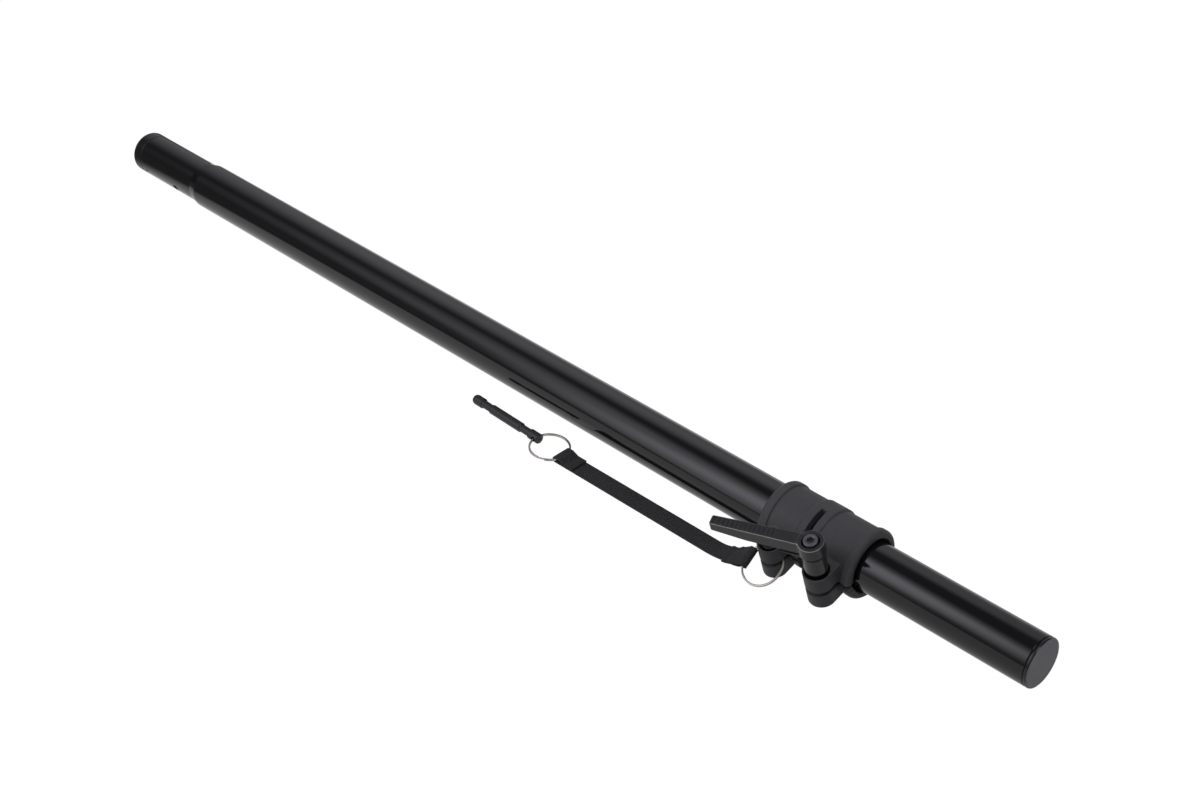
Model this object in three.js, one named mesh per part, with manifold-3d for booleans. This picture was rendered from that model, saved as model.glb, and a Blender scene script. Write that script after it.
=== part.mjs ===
// Telescopic speaker pole: two tubes, a split clamp collar with an indexing lever, and a tethered locking pin.
// The pole lies along +X, as it rests on a table, with the face of its stub end at the origin. Lengths are in
// millimetres. The clamp's own frame is turned about X by clampRoll: its -Y runs out along the ears and its +Z up
// the clamp screws.
import * as THREE from "three";
import { mergeVertices } from "three/addons/utils/BufferGeometryUtils.js";
import Module from "manifold-3d";

const wasm = await Module();
wasm.setup();

// Fits
const seatGap = 0.3;
const slideGap = 0.25;
const cutOverrun = 1;

// Whole pole, collapsed
const poleLength = 940;

// Outer tube, drawn down to the stub that plugs into a socket
const outerDiameter = 38;
const outerWall = 1;
const stubStep = 1.5;
const stubEnd = 84;
const swageLength = 8.5;
const tubeLip = 0.3;
const lockHoleDiameter = 6;
const lockHoleAlong = 60.4;
const nubHoleDiameter = 3.2;
const nubHoleAlong = 17;
const stubHoleRoll = THREE.MathUtils.degToRad(25.5);

// Stub end cap
const stubCapHead = 12;
const stubCapEdge = 2.7;
const stubCapPlug = 24;
const stubCapWall = 2.5;
const nubHeight = 1.1;

// Inner tube
const tubeRunningGap = 0.5;
const innerWall = 1.5;
const innerShow = 131;
const innerStart = 112;
const pinHoleDiameter = 8.2;
const pinHoleCount = 7;
const pinHolePitch = 60;
const pinHoleClearOfCollar = 92;

// Top end cap
const topCapHead = 3.3;
const topCapEdge = 1.3;
const topCapGroove = 0.9;
const topCapGrooveDepth = 0.45;
const topCapPlug = 22;
const topCapWall = 2.5;

// Guide bush on the inner tube's lower end
const bushHead = 12;
const bushPlug = 18;
const bushWall = 2;
const bushChamfer = 1;
const bushRunningGap = 0.1;

// Clamp collar
const collarLength = 78.4;
const clampRoll = THREE.MathUtils.degToRad(17.5);
const collarWall = 4.5;
const flangeRise = 1.2;
const bandRise = 1.1;
const flangeWidth = 7;
const flangeEdge = 3;
const flangeRun = 2.2;
const bandWidth = 15;
const bandRun = 1.5;
const bandShift = -1.05;
const mouthWidth = 7.2;
const mouthFlare = 1.6;
const mouthEdge = 3.2;
const mouthStep = 3.7;
const mouthDepth = 6.5;
const tubeSeatDepth = 34;
const bodyBlend = 1.2;
const splitGap = 3.4;
const slotWidth = 4.2;
const slotReach = THREE.MathUtils.degToRad(103);
const screwSpacing = 39.9;
const screwReach = 11.1;
const fixedEarDiameter = 17.2;
const leverEarDiameter = 19.6;
const earAbove = 15;
const earBelow = 13.2;
const earBevel = 1;
const fixedCounterbore = 15;
const leverCounterbore = 16.8;
const counterboreDepth = 9.5;

// Clamp screw on the outer tube's side
const screwDiameter = 6;
const screwHeadDiameter = 10;
const screwHeadHeight = 6;
const screwSocket = 5;
const screwSocketDepth = 3;
const screwNutAcross = 10;
const screwNutHeight = 5;
const screwWasherDiameter = 12;
const screwWasherHeight = 1.6;
const headChamfer = 0.6;

// Lever spindle with its threaded stud
const studDiameter = 8;
const studNutAcross = 13;
const studNutHeight = 6.5;
const studWasherDiameter = 16;
const studWasherHeight = 1.6;
const thrustDiscDiameter = 15.2;
const thrustDiscHeight = 1.2;
const spindleDiameter = 13;
const neckDiameter = 10;
const splineDiameter = 11.6;
const splineCount = 16;
const splineHeight = 3.9;
const spindleTop = 29.5;
const spindleBoreDepth = 15;

// Lever handle
const handleBottom = 19;
const handleTop = 44.8;
const hubDiameter = 18.6;
const hubHeadHeight = 9.5;
const hubLowerDiameter = 16;
const hubGroove = 0.5;
const hubEdge = 0.9;
const handleWeb = 1.5;
const springChamberDiameter = 11.4;
const armLength = 68.8;
const armTurn = THREE.MathUtils.degToRad(198.9);
const armRootWidth = 9.6;
const armTipWidth = 7.3;
const armTipHeight = 6.8;
const armRootHeight = 14.6;
const armEdge = 0.8;
const armTipCorner = 2;
const gripCount = 11;
const gripStart = 25;
const gripEnd = 64.5;
const gripDepth = 0.5;
const gripMargin = 1.3;
const gripBarShare = 0.42;

// Lever cap screw and spring
const capScrewDiameter = 6;
const capScrewHeadDiameter = 9.8;
const capScrewHeadHeight = 6;
const capScrewProud = 1.3;
const capScrewSocket = 4;
const capScrewSocketDepth = 2.8;
const capScrewLength = 24;
const springWire = 0.8;
const springTurns = 3.5;
const springMeanDiameter = 8.5;

// Tether rings
const ringMeanDiameter = 29.2;
const ringWire = 1.5;
const tetherRingTilt = THREE.MathUtils.degToRad(17.5);
const tetherRingLean = THREE.MathUtils.degToRad(-5);
const tetherRingShift = 3;
const tetherRingRise = 0.5;
const tetherRingReach = 5.5;

// Tether strap, a strip of webbing folded back on itself round each ring
const strapWidth = 15;
const strapThickness = 1.2;
const strapRun = 171;
const strapYaw = THREE.MathUtils.degToRad(1);
const strapFlap = 17;
const strapRise = 28;
const flapTaper = 9;
const strapEyeGap = 0.5;

// Locking pin
const pinLength = 70.2;
const pinDiameter = 7.6;
const pinBodyDiameter = 7.2;
const pinNeckDiameter = 5.9;
const pinHeadLength = 10.3;
const pinNeckLength = 9.8;
const pinBodyLength = 30.5;
const pinTailLength = 9.6;
const pinChamfer = 0.7;
const pinEdge = 1;
const pinTipFlat = 0.5;
const pinRingHole = 3.2;
const pinRingHoleInset = 3.6;
const pinSeatTurn = THREE.MathUtils.degToRad(4);
const pinYaw = THREE.MathUtils.degToRad(-2.1);
const pinCentreMark = 2.2;
const pinCentreMarkDepth = 1.6;

// Counts of sides and steps
const tubeSides = 48;
const pinSides = 24;
const boltSides = 24;
const arcSteps = 3;
const earSteps = 12;
const fineEdge = 1.3;
const ringSteps = 48;
const wireSides = 8;

// Finishes
const paint = finish(0x17181b, 0.22, 0.55);
const nylon = finish(0x2f2f31, 0.62, 0);
const capPlastic = finish(0x38383b, 0.6, 0);
const blackSteel = finish(0x202124, 0.38, 0.8);
const zincSteel = finish(0x9a9c9f, 0.35, 0.9);
const nickel = finish(0xcfcac4, 0.2, 1);
const webbing = finish(0x141415, 0.9, 0);
const acetal = finish(0xd8d6cf, 0.45, 0);

// Sizes worked out from the driving ones
const outerRadius = outerDiameter / 2;
const outerBore = outerRadius - outerWall;
const stubRadius = outerRadius - stubStep;
const stubBore = stubRadius - outerWall;
const innerRadius = outerBore - tubeRunningGap;
const innerBore = innerRadius - innerWall;
const bodyRadius = outerRadius + collarWall;
const flangeRadius = bodyRadius + flangeRise;
const bandRadius = bodyRadius + bandRise;
const screwOffset = outerRadius + screwReach;
const collarEnd = poleLength - innerShow;
const collarStart = collarEnd - collarLength;
const collarCentre = collarStart + collarLength / 2;
const innerEnd = poleLength - topCapHead;
const screwRadius = screwDiameter / 2;
const studRadius = studDiameter / 2;
const ringRadius = ringMeanDiameter / 2;
const wireRadius = ringWire / 2;
const seatLevel = earAbove - counterboreDepth;

// The table under the pole touches the stub's end and the collar's first flange
const flangeTouch = collarStart + flangeWidth / 2;
const tableSlope = Math.atan2(flangeRadius - stubRadius, flangeTouch - stubCapEdge);

function tableUnder(along) {
  return -flangeRadius + (flangeTouch - along) * Math.tan(tableSlope);
}

function finish(color, roughness, metalness) {
  return new THREE.MeshStandardMaterial({ color, roughness, metalness, flatShading: true });
}

// A closed mesh with shared corners, no collapsed faces and its faces turned outwards
function closed(source) {
  const bare = source.clone();
  bare.deleteAttribute("normal");
  bare.deleteAttribute("uv");
  const merged = mergeVertices(bare);
  const index = merged.index.array;
  const kept = [];
  for (let i = 0; i < index.length; i += 3) {
    const [a, b, c] = [index[i], index[i + 1], index[i + 2]];
    if (a !== b && b !== c && c !== a) {
      kept.push(a, b, c);
    }
  }
  merged.setIndex(kept);
  return volumeOf(merged) < 0 ? insideOut(merged) : merged;
}

function volumeOf(geometry) {
  const position = geometry.attributes.position;
  const index = geometry.index.array;
  const corner = [new THREE.Vector3(), new THREE.Vector3(), new THREE.Vector3()];
  let volume = 0;
  for (let i = 0; i < index.length; i += 3) {
    corner.forEach((point, k) => point.fromBufferAttribute(position, index[i + k]));
    volume += corner[0].dot(corner[1].cross(corner[2])) / 6;
  }
  return volume;
}

function insideOut(geometry) {
  const index = Array.from(geometry.index.array);
  for (let i = 0; i < index.length; i += 3) {
    [index[i + 1], index[i + 2]] = [index[i + 2], index[i + 1]];
  }
  geometry.setIndex(index);
  return geometry;
}

// An outline with rounded corners: each corner is [x, y, radius], and a corner with no radius stays sharp. A
// rounding finer than fineEdge becomes a plain chamfer.
function rounded(corners, open = false) {
  const points = [];
  const count = corners.length;
  corners.forEach(([x, y, radius = 0], i) => {
    const here = new THREE.Vector2(x, y);
    if (radius === 0 || (open && (i === 0 || i === count - 1))) {
      points.push(here);
      return;
    }
    const [bx, by] = corners[(i + count - 1) % count];
    const [ax, ay] = corners[(i + 1) % count];
    const back = new THREE.Vector2(bx, by).sub(here).normalize();
    const ahead = new THREE.Vector2(ax, ay).sub(here).normalize();
    const half = Math.acos(THREE.MathUtils.clamp(back.dot(ahead), -1, 1)) / 2;
    const reach = radius / Math.tan(half);
    const middle = back.clone().add(ahead).normalize().multiplyScalar(radius / Math.sin(half)).add(here);
    const first = here.clone().addScaledVector(back, reach).sub(middle);
    const last = here.clone().addScaledVector(ahead, reach).sub(middle);
    const sweep = Math.atan2(first.cross(last), first.dot(last));
    const steps = radius < fineEdge ? 1 : arcSteps;
    for (let k = 0; k <= steps; k += 1) {
      const spoke = first.clone().rotateAround(new THREE.Vector2(), (sweep * k) / steps);
      points.push(spoke.add(middle));
    }
  });
  return points;
}

// A turned piece about Y from corners [radius, height, rounding], solid if it starts on the axis and else a ring
function turned(corners, sides = tubeSides) {
  const solid = corners[0][0] === 0;
  const points = rounded(corners, solid);
  if (!solid) {
    points.push(points[0].clone());
  }
  return closed(new THREE.LatheGeometry(points, sides));
}

function turnedAlongX(corners, sides = tubeSides) {
  return turned(corners, sides).rotateZ(-Math.PI / 2);
}

function turnedAlongZ(corners, sides = boltSides) {
  return turned(corners, sides).rotateX(Math.PI / 2);
}

function rod(radius, from, to, sides = boltSides) {
  return turnedAlongZ([[0, from], [radius, from], [radius, to], [0, to]], sides);
}

function hexagon(across, from, to) {
  return rod(across / Math.sqrt(3), from, to, 6);
}

// A flat shape given height along Z, with its edges bevelled inside the outline
function prism(shape, from, to, bevel = 0) {
  const geometry = new THREE.ExtrudeGeometry(shape, {
    depth: to - from - 2 * bevel,
    bevelEnabled: bevel > 0,
    bevelThickness: bevel,
    bevelSize: bevel,
    bevelOffset: -bevel,
    bevelSegments: 1,
    curveSegments: earSteps,
  });
  return closed(geometry).translate(0, 0, from + bevel);
}

function block(x0, x1, y0, y1, z0, z1) {
  const geometry = new THREE.BoxGeometry(x1 - x0, y1 - y0, z1 - z0);
  return closed(geometry).translate((x0 + x1) / 2, (y0 + y1) / 2, (z0 + z1) / 2);
}

function toSolid(geometry) {
  const vertProperties = new Float32Array(geometry.attributes.position.array);
  const triVerts = new Uint32Array(geometry.index.array);
  return new wasm.Manifold(new wasm.Mesh({ numProp: 3, vertProperties, triVerts }));
}

// Joins geometries to a base and then cuts others out of it
function shaped(base, joined, cuts) {
  let solid = toSolid(base);
  for (const geometry of joined) {
    solid = solid.add(toSolid(geometry));
  }
  for (const geometry of cuts) {
    solid = solid.subtract(toSolid(geometry));
  }
  const { vertProperties, triVerts } = solid.getMesh();
  const result = new THREE.BufferGeometry();
  result.setAttribute("position", new THREE.BufferAttribute(vertProperties, 3));
  result.setIndex(new THREE.BufferAttribute(triVerts, 1));
  return result;
}

function addPart(parent, name, geometry, material) {
  geometry.computeVertexNormals();
  const mesh = new THREE.Mesh(geometry, material);
  mesh.name = name;
  parent.add(mesh);
  return mesh;
}

// Outer tube: stub, swage and body are one drawn tube, with a lock hole and a nub hole right through the stub
function outerTube() {
  const end = collarStart + tubeSeatDepth;
  const start = stubCapHead;
  const tube = turnedAlongX([
    [stubBore, start],
    [stubRadius, start, tubeLip],
    [stubRadius, stubEnd, swageLength / 2],
    [outerRadius, stubEnd + swageLength, swageLength / 2],
    [outerRadius, end, tubeLip],
    [outerBore, end],
    [outerBore, stubEnd + swageLength, swageLength / 2],
    [stubBore, stubEnd, swageLength / 2],
  ]);
  const lockHole = crossHole(lockHoleDiameter, lockHoleAlong, stubRadius);
  const nubHole = crossHole(nubHoleDiameter, nubHoleAlong, stubRadius);
  return shaped(tube, [], [lockHole, nubHole]);
}

// A round hole across the stub, turned about the pole's axis by the stub's own roll
function crossHole(diameter, along, tubeRadius) {
  const reach = tubeRadius + cutOverrun;
  return rod(diameter / 2, -reach, reach).rotateX(Math.PI / 2 + stubHoleRoll).translate(along, 0, 0);
}

// Stub end cap: a domed head and a hollow plug whose nubs snap into the stub's nub holes
function stubEndCap() {
  const plugRadius = stubBore - seatGap;
  const plugEnd = stubCapHead + stubCapPlug;
  const cap = turnedAlongX([
    [0, 0],
    [stubRadius, 0, stubCapEdge],
    [stubRadius, stubCapHead - seatGap],
    [plugRadius, stubCapHead - seatGap],
    [plugRadius, plugEnd, bushChamfer],
    [plugRadius - stubCapWall, plugEnd],
    [plugRadius - stubCapWall, stubCapHead],
    [0, stubCapHead],
  ]);
  const nubRadius = nubHoleDiameter / 2 - seatGap;
  const nubReach = plugRadius + nubHeight;
  const nub = rod(nubRadius, -nubReach, nubReach).rotateX(Math.PI / 2 + stubHoleRoll);
  const hollow = turnedAlongX([
    [0, stubCapHead],
    [plugRadius - stubCapWall, stubCapHead],
    [plugRadius - stubCapWall, plugEnd + cutOverrun],
    [0, plugEnd + cutOverrun],
  ]);
  return shaped(cap, [nub.translate(nubHoleAlong, 0, 0)], [hollow]);
}

// Inner tube, with a row of holes for the locking pin that come clear of the collar as it is drawn out
function innerTube() {
  const tube = turnedAlongX([
    [innerBore, innerStart],
    [innerRadius, innerStart, tubeLip],
    [innerRadius, innerEnd, tubeLip],
    [innerBore, innerEnd],
  ]);
  const reach = innerRadius + cutOverrun;
  const holes = [];
  for (let i = 0; i < pinHoleCount; i += 1) {
    const along = collarEnd - pinHoleClearOfCollar - i * pinHolePitch;
    holes.push(rod(pinHoleDiameter / 2, -reach, reach).rotateX(Math.PI / 2).translate(along, 0, 0));
  }
  return shaped(tube, [], holes);
}

// Top end cap: a flat-faced head with a fine groove under its rim, and a hollow plug
function topEndCap() {
  const plugRadius = innerBore - seatGap;
  const start = innerEnd + seatGap;
  const plugEnd = innerEnd - topCapPlug;
  const grooveRadius = innerRadius - topCapGrooveDepth;
  return turnedAlongX([
    [0, poleLength],
    [innerRadius, poleLength, topCapEdge],
    [innerRadius, start + topCapGroove],
    [grooveRadius, start + topCapGroove],
    [grooveRadius, start],
    [plugRadius, start],
    [plugRadius, plugEnd, bushChamfer],
    [plugRadius - topCapWall, plugEnd],
    [plugRadius - topCapWall, innerEnd],
    [0, innerEnd],
  ]);
}

// Guide bush: its plug sits in the inner tube's lower end and its head runs in the outer tube
function innerGuideBush() {
  const plugRadius = innerBore - seatGap;
  const headRadius = outerBore - bushRunningGap;
  const headStart = innerStart - seatGap - bushHead;
  const plugEnd = innerStart + bushPlug;
  return turnedAlongX([
    [plugRadius - bushWall, headStart],
    [headRadius, headStart, bushChamfer],
    [headRadius, innerStart - seatGap],
    [plugRadius, innerStart - seatGap],
    [plugRadius, plugEnd, bushChamfer],
    [plugRadius - bushWall, plugEnd],
  ]);
}

// One half of a pair of ears, from its root in the collar's body to its round end about the screw
function earShape(diameter) {
  const radius = diameter / 2;
  const ear = new THREE.Shape();
  ear.moveTo(-radius, 0);
  ear.lineTo(-radius, -screwOffset);
  ear.absarc(0, -screwOffset, radius, Math.PI, 2 * Math.PI, false);
  ear.lineTo(radius, 0);
  ear.closePath();
  return ear;
}

function earPair(diameter) {
  const shape = earShape(diameter);
  return [prism(shape, splitGap / 2, earAbove, earBevel), prism(shape, -earBelow, -splitGap / 2, earBevel)];
}

// Part of a ring about X that is open towards +Y
function slotCutter() {
  const outer = bandRadius + cutOverrun;
  const inner = innerRadius;
  const low = -Math.PI / 2 - slotReach;
  const high = -Math.PI / 2 + slotReach;
  const sector = new THREE.Shape();
  sector.absarc(0, 0, outer, low, high, false);
  sector.absarc(0, 0, inner, high, low, true);
  sector.closePath();
  return prism(sector, bandShift - slotWidth / 2, bandShift + slotWidth / 2).rotateY(Math.PI / 2);
}

// Clamp collar, about its own middle: a turned body with flanges and a band, split along its ears, with a slot
// round the middle so that each end clamps by itself
function clampCollar() {
  const half = collarLength / 2;
  const bandStart = bandShift - bandWidth / 2;
  const bandEnd = bandShift + bandWidth / 2;
  const body = turnedAlongX([
    [0, -half],
    [flangeRadius, -half, flangeEdge],
    [flangeRadius, -half + flangeWidth, bodyBlend],
    [bodyRadius, -half + flangeWidth + flangeRun, bodyBlend],
    [bodyRadius, bandStart - bandRun, bodyBlend],
    [bandRadius, bandStart, bodyBlend],
    [bandRadius, bandEnd, bodyBlend],
    [bodyRadius, bandEnd + bandRun, bodyBlend],
    [bodyRadius, half - mouthWidth, bodyBlend],
    [flangeRadius, half - mouthWidth + mouthFlare, bodyBlend],
    [flangeRadius, half, mouthEdge],
    [0, half],
  ]);
  const ears = [
    ...earPair(fixedEarDiameter).map((ear) => ear.translate(-screwSpacing / 2, 0, 0)),
    ...earPair(leverEarDiameter).map((ear) => ear.translate(screwSpacing / 2, 0, 0)),
  ];
  const seatRadius = outerRadius + slideGap;
  const boreRadius = innerRadius + slideGap;
  const seatEnd = -half + tubeSeatDepth + seatGap;
  const bore = turnedAlongX([
    [0, -half - cutOverrun],
    [seatRadius, -half - cutOverrun],
    [seatRadius, seatEnd],
    [boreRadius, seatEnd],
    [boreRadius, half - mouthDepth],
    [innerRadius + mouthStep, half + cutOverrun],
    [0, half + cutOverrun],
  ]);
  const earEnd = screwOffset + leverEarDiameter / 2 + cutOverrun;
  const length = half + cutOverrun;
  const split = block(-length, length, -earEnd, 0, -splitGap / 2, splitGap / 2);
  return shaped(body, ears, [bore, split, slotCutter(), ...screwCuts()]);
}

// Counterbore, clearance hole and nut pocket of each pair of ears
function screwCuts() {
  const top = earAbove + cutOverrun;
  const bottom = -earBelow - cutOverrun;
  const fastenings = [
    { side: -1, seat: fixedCounterbore, radius: screwRadius, across: screwNutAcross, height: screwNutHeight },
    { side: 1, seat: leverCounterbore, radius: studRadius, across: studNutAcross, height: studNutHeight },
  ];
  return fastenings.flatMap(({ side, seat, radius, across, height }) => {
    const cuts = [
      rod(seat / 2, seatLevel, top),
      rod(radius + seatGap, bottom, top),
      hexagon(across + 2 * seatGap, bottom, nutLevel(height) + seatGap),
    ];
    return cuts.map((cut) => cut.translate((side * screwSpacing) / 2, -screwOffset, 0));
  });
}

// Upper face of a nut that lies just inside the lower ear's foot
function nutLevel(height) {
  return -earBelow + seatGap + height;
}

function washer(outer, hole, height, from = seatLevel + seatGap) {
  return turnedAlongZ([[hole, from], [outer, from], [outer, from + height], [hole, from + height]]);
}

function nut(across, hole, height) {
  const top = nutLevel(height);
  return shaped(hexagon(across, top - height, top), [], [rod(hole, top - height - cutOverrun, top + cutOverrun)]);
}

// Socket-head cap screw along Z, from the top of its head down
function capScrew({ top, headRadius, headHeight, radius, length, socket, socketDepth }) {
  const under = top - headHeight;
  const screw = turnedAlongZ([
    [0, under - length],
    [radius, under - length, headChamfer],
    [radius, under],
    [headRadius, under],
    [headRadius, top, headChamfer],
    [0, top],
  ]);
  return shaped(screw, [], [hexagon(socket, top - socketDepth, top + cutOverrun)]);
}

// Pointed teeth round Z
function splineShape(root, tip) {
  const points = [];
  for (let i = 0; i < 2 * splineCount; i += 1) {
    const radius = i % 2 === 0 ? tip : root;
    const angle = (i * Math.PI) / splineCount;
    points.push(new THREE.Vector2(radius * Math.cos(angle), radius * Math.sin(angle)));
  }
  return new THREE.Shape(points);
}

// Lever spindle: stud, foot that presses on the washer, neck and splined head with a tapped bore
function leverSpindle() {
  const foot = seatLevel + studWasherHeight + thrustDiscHeight + 3 * seatGap;
  const footTop = handleBottom - seatGap;
  const splineStart = spindleTop - splineHeight;
  const neck = neckDiameter / 2;
  const shank = turnedAlongZ([
    [0, -earBelow + seatGap],
    [studRadius, -earBelow + seatGap, headChamfer],
    [studRadius, foot],
    [spindleDiameter / 2, foot],
    [spindleDiameter / 2, footTop, headChamfer],
    [neck, footTop],
    [neck, splineStart],
    [0, splineStart],
  ]);
  const spline = prism(splineShape(neck, splineDiameter / 2), splineStart, spindleTop);
  const core = rod(neck, footTop, spindleTop);
  const bore = rod(capScrewDiameter / 2 + seatGap, spindleTop - spindleBoreDepth, spindleTop + cutOverrun);
  return shaped(shank, [core, spline], [bore]);
}

// Lever handle about the stud's axis: hub and arm in one, with a splined bore, a web and a spring chamber
function leverHandle() {
  const hubRadius = hubDiameter / 2;
  const lowerRadius = hubLowerDiameter / 2;
  const headBottom = handleTop - hubHeadHeight;
  const hub = turnedAlongZ(
    [
      [0, handleBottom],
      [lowerRadius, handleBottom, hubEdge],
      [lowerRadius, headBottom - hubGroove],
      [lowerRadius - hubGroove, headBottom - hubGroove],
      [lowerRadius - hubGroove, headBottom],
      [hubRadius, headBottom, hubGroove],
      [hubRadius, handleTop, hubEdge],
      [0, handleTop],
    ],
    boltSides,
  );
  const tipHalf = armTipWidth / 2;
  const rootHalf = armRootWidth / 2;
  const plan = new THREE.Shape(
    rounded([
      [0, -rootHalf],
      [armLength, -tipHalf, armTipCorner],
      [armLength, tipHalf, armTipCorner],
      [0, rootHalf],
    ]),
  );
  const arm = prism(plan, handleTop - armRootHeight, handleTop, armEdge);
  return shaped(hub, [toGeometryCut(arm, underside())], [...gripCuts(), ...handleBores()]);
}

function toGeometryCut(base, cut) {
  return shaped(base, [], [cut]);
}

// Wedge below the arm, whose upper face climbs from the hub to the tip
function underside() {
  const low = handleTop - armRootHeight - cutOverrun;
  const reach = armLength + cutOverrun;
  const climb = (armRootHeight - armTipHeight) * (reach / armLength);
  const side = new THREE.Shape([
    new THREE.Vector2(0, low),
    new THREE.Vector2(reach, low),
    new THREE.Vector2(reach, handleTop - armRootHeight + climb),
    new THREE.Vector2(0, handleTop - armRootHeight),
  ]);
  const halfWidth = armRootWidth / 2 + cutOverrun;
  return prism(side, -halfWidth, halfWidth).rotateX(Math.PI / 2);
}

// Shallow grip grooves across the arm's top, with plain bars left between them
function gripCuts() {
  const pitch = (gripEnd - gripStart) / gripCount;
  const cuts = [];
  for (let i = 0; i < gripCount; i += 1) {
    const from = gripStart + i * pitch;
    const to = from + pitch * (1 - gripBarShare);
    const width = THREE.MathUtils.lerp(armRootWidth, armTipWidth, from / armLength) - 2 * gripMargin;
    cuts.push(block(from, to, -width / 2, width / 2, handleTop - gripDepth, handleTop + cutOverrun));
  }
  return cuts;
}

function handleBores() {
  const splineEnd = spindleTop - seatGap;
  const clear = splineDiameter / 2 + seatGap;
  const webBottom = spindleTop + seatGap;
  return [
    rod(clear, handleBottom - cutOverrun, spindleTop - splineHeight - seatGap),
    prism(splineShape(neckDiameter / 2 + seatGap, clear), handleBottom, splineEnd),
    rod(clear, splineEnd, webBottom),
    rod(capScrewDiameter / 2 + seatGap, handleBottom, handleTop + cutOverrun),
    rod(springChamberDiameter / 2, webBottom + handleWeb, handleTop + cutOverrun),
  ];
}

// Return spring: one helical wire with eight steps a turn
function leverSpring() {
  const from = spindleTop + 2 * seatGap + handleWeb + springWire / 2;
  const to = handleTop + capScrewProud - capScrewHeadHeight - seatGap - springWire / 2;
  const steps = Math.round(springTurns * 8);
  const sides = 5;
  const radius = springMeanDiameter / 2;
  const positions = [];
  const index = [];
  for (let i = 0; i <= steps; i += 1) {
    const angle = (i / steps) * springTurns * 2 * Math.PI;
    const height = THREE.MathUtils.lerp(from, to, i / steps);
    for (let k = 0; k < sides; k += 1) {
      const around = (k / sides) * 2 * Math.PI;
      const out = radius + (springWire / 2) * Math.cos(around);
      const up = height + (springWire / 2) * Math.sin(around);
      positions.push(out * Math.cos(angle), out * Math.sin(angle), up);
    }
  }
  for (let i = 0; i < steps; i += 1) {
    for (let k = 0; k < sides; k += 1) {
      const a = i * sides + k;
      const b = i * sides + ((k + 1) % sides);
      index.push(a, b, a + sides, b, b + sides, a + sides);
    }
  }
  const last = steps * sides;
  for (let k = 1; k < sides - 1; k += 1) {
    index.push(0, k + 1, k, last, last + k, last + k + 1);
  }
  return closed(strung(positions, index));
}

function strung(positions, index) {
  const geometry = new THREE.BufferGeometry();
  geometry.setAttribute("position", new THREE.Float32BufferAttribute(positions, 3));
  geometry.setIndex(index);
  return geometry;
}

function ring() {
  return closed(new THREE.TorusGeometry(ringRadius, wireRadius, wireSides, ringSteps));
}

// Locking pin along -X from the hole that the pin ring passes through
function lockingPin() {
  const tailEnd = pinRingHoleInset;
  const bodyStart = tailEnd - pinTailLength - pinNeckLength;
  const headStart = bodyStart - pinBodyLength - pinNeckLength;
  const head = pinDiameter / 2;
  const body = pinBodyDiameter / 2;
  const neck = pinNeckDiameter / 2;
  const far = tailEnd - pinLength;
  const turning = turnedAlongX(
    [
      [0, far],
      [head, far, head - pinTipFlat],
      [head, far + pinHeadLength, pinChamfer / 2],
      [neck, far + pinHeadLength + pinChamfer],
      [neck, headStart + pinNeckLength - pinChamfer],
      [body, headStart + pinNeckLength],
      [body, bodyStart - pinChamfer / 2],
      [neck, bodyStart + pinChamfer / 2],
      [neck, tailEnd - pinTailLength - pinChamfer],
      [head, tailEnd - pinTailLength, pinChamfer / 2],
      [head, tailEnd, pinEdge],
      [0, tailEnd],
    ],
    pinSides,
  );
  const hole = rod(pinRingHole / 2, -pinDiameter, pinDiameter).rotateX(Math.PI / 2);
  const mark = turnedAlongX([
    [0, tailEnd - pinCentreMarkDepth],
    [pinCentreMark / 2, tailEnd],
    [pinCentreMark / 2, tailEnd + cutOverrun],
    [0, tailEnd + cutOverrun],
  ], boltSides);
  return shaped(turning, [], [hole, mark]);
}

// Strap: a strip swept along a path in its long upright plane. Along X it lies on the table, and near the clamp it
// climbs and twists until its width follows the wire of the tether ring. Heights are measured from the strip's own
// middle layer.
function tetherStrap(climb, twist) {
  const layer = strapThickness + seatGap;
  const eye = wireRadius + strapEyeGap + strapThickness / 2;
  const bow = ringRadius - Math.sqrt(ringRadius ** 2 - (strapWidth / 2) ** 2);
  const path = [];
  const flapSteps = 4;
  const turnSteps = 8;
  const runSteps = 30;
  const farFold = -strapRun;
  for (let i = 0; i <= flapSteps; i += 1) {
    path.push([farFold + strapFlap + (flapTaper - strapFlap) * (i / flapSteps), layer]);
  }
  path.push([farFold + bow + eye, 2 * eye]);
  for (let i = 0; i <= turnSteps; i += 1) {
    const angle = Math.PI / 2 + (Math.PI * i) / turnSteps;
    path.push([farFold + eye * Math.cos(angle), eye + eye * Math.sin(angle)]);
  }
  for (let i = 0; i <= runSteps; i += 1) {
    path.push([farFold + (strapRun + bow - flapTaper) * ((i + 0.5) / (runSteps + 0.5)), 0]);
  }
  for (let i = 0; i <= turnSteps; i += 1) {
    const angle = Math.PI / 2 - (Math.PI * i) / turnSteps;
    path.push([bow + eye * Math.cos(angle), -eye + eye * Math.sin(angle)]);
  }
  path.push([-eye, -2 * eye]);
  for (let i = 0; i <= flapSteps; i += 1) {
    path.push([bow - flapTaper - (strapFlap - flapTaper) * (i / flapSteps), -layer]);
  }
  return sweptStrip(path, (along) => {
    const share = THREE.MathUtils.clamp(1 + along / strapRise, 0, 1);
    const eased = share * share * (3 - 2 * share);
    return { rise: strapThickness / 2 + eased * climb, turn: eased * twist };
  });
}

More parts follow.
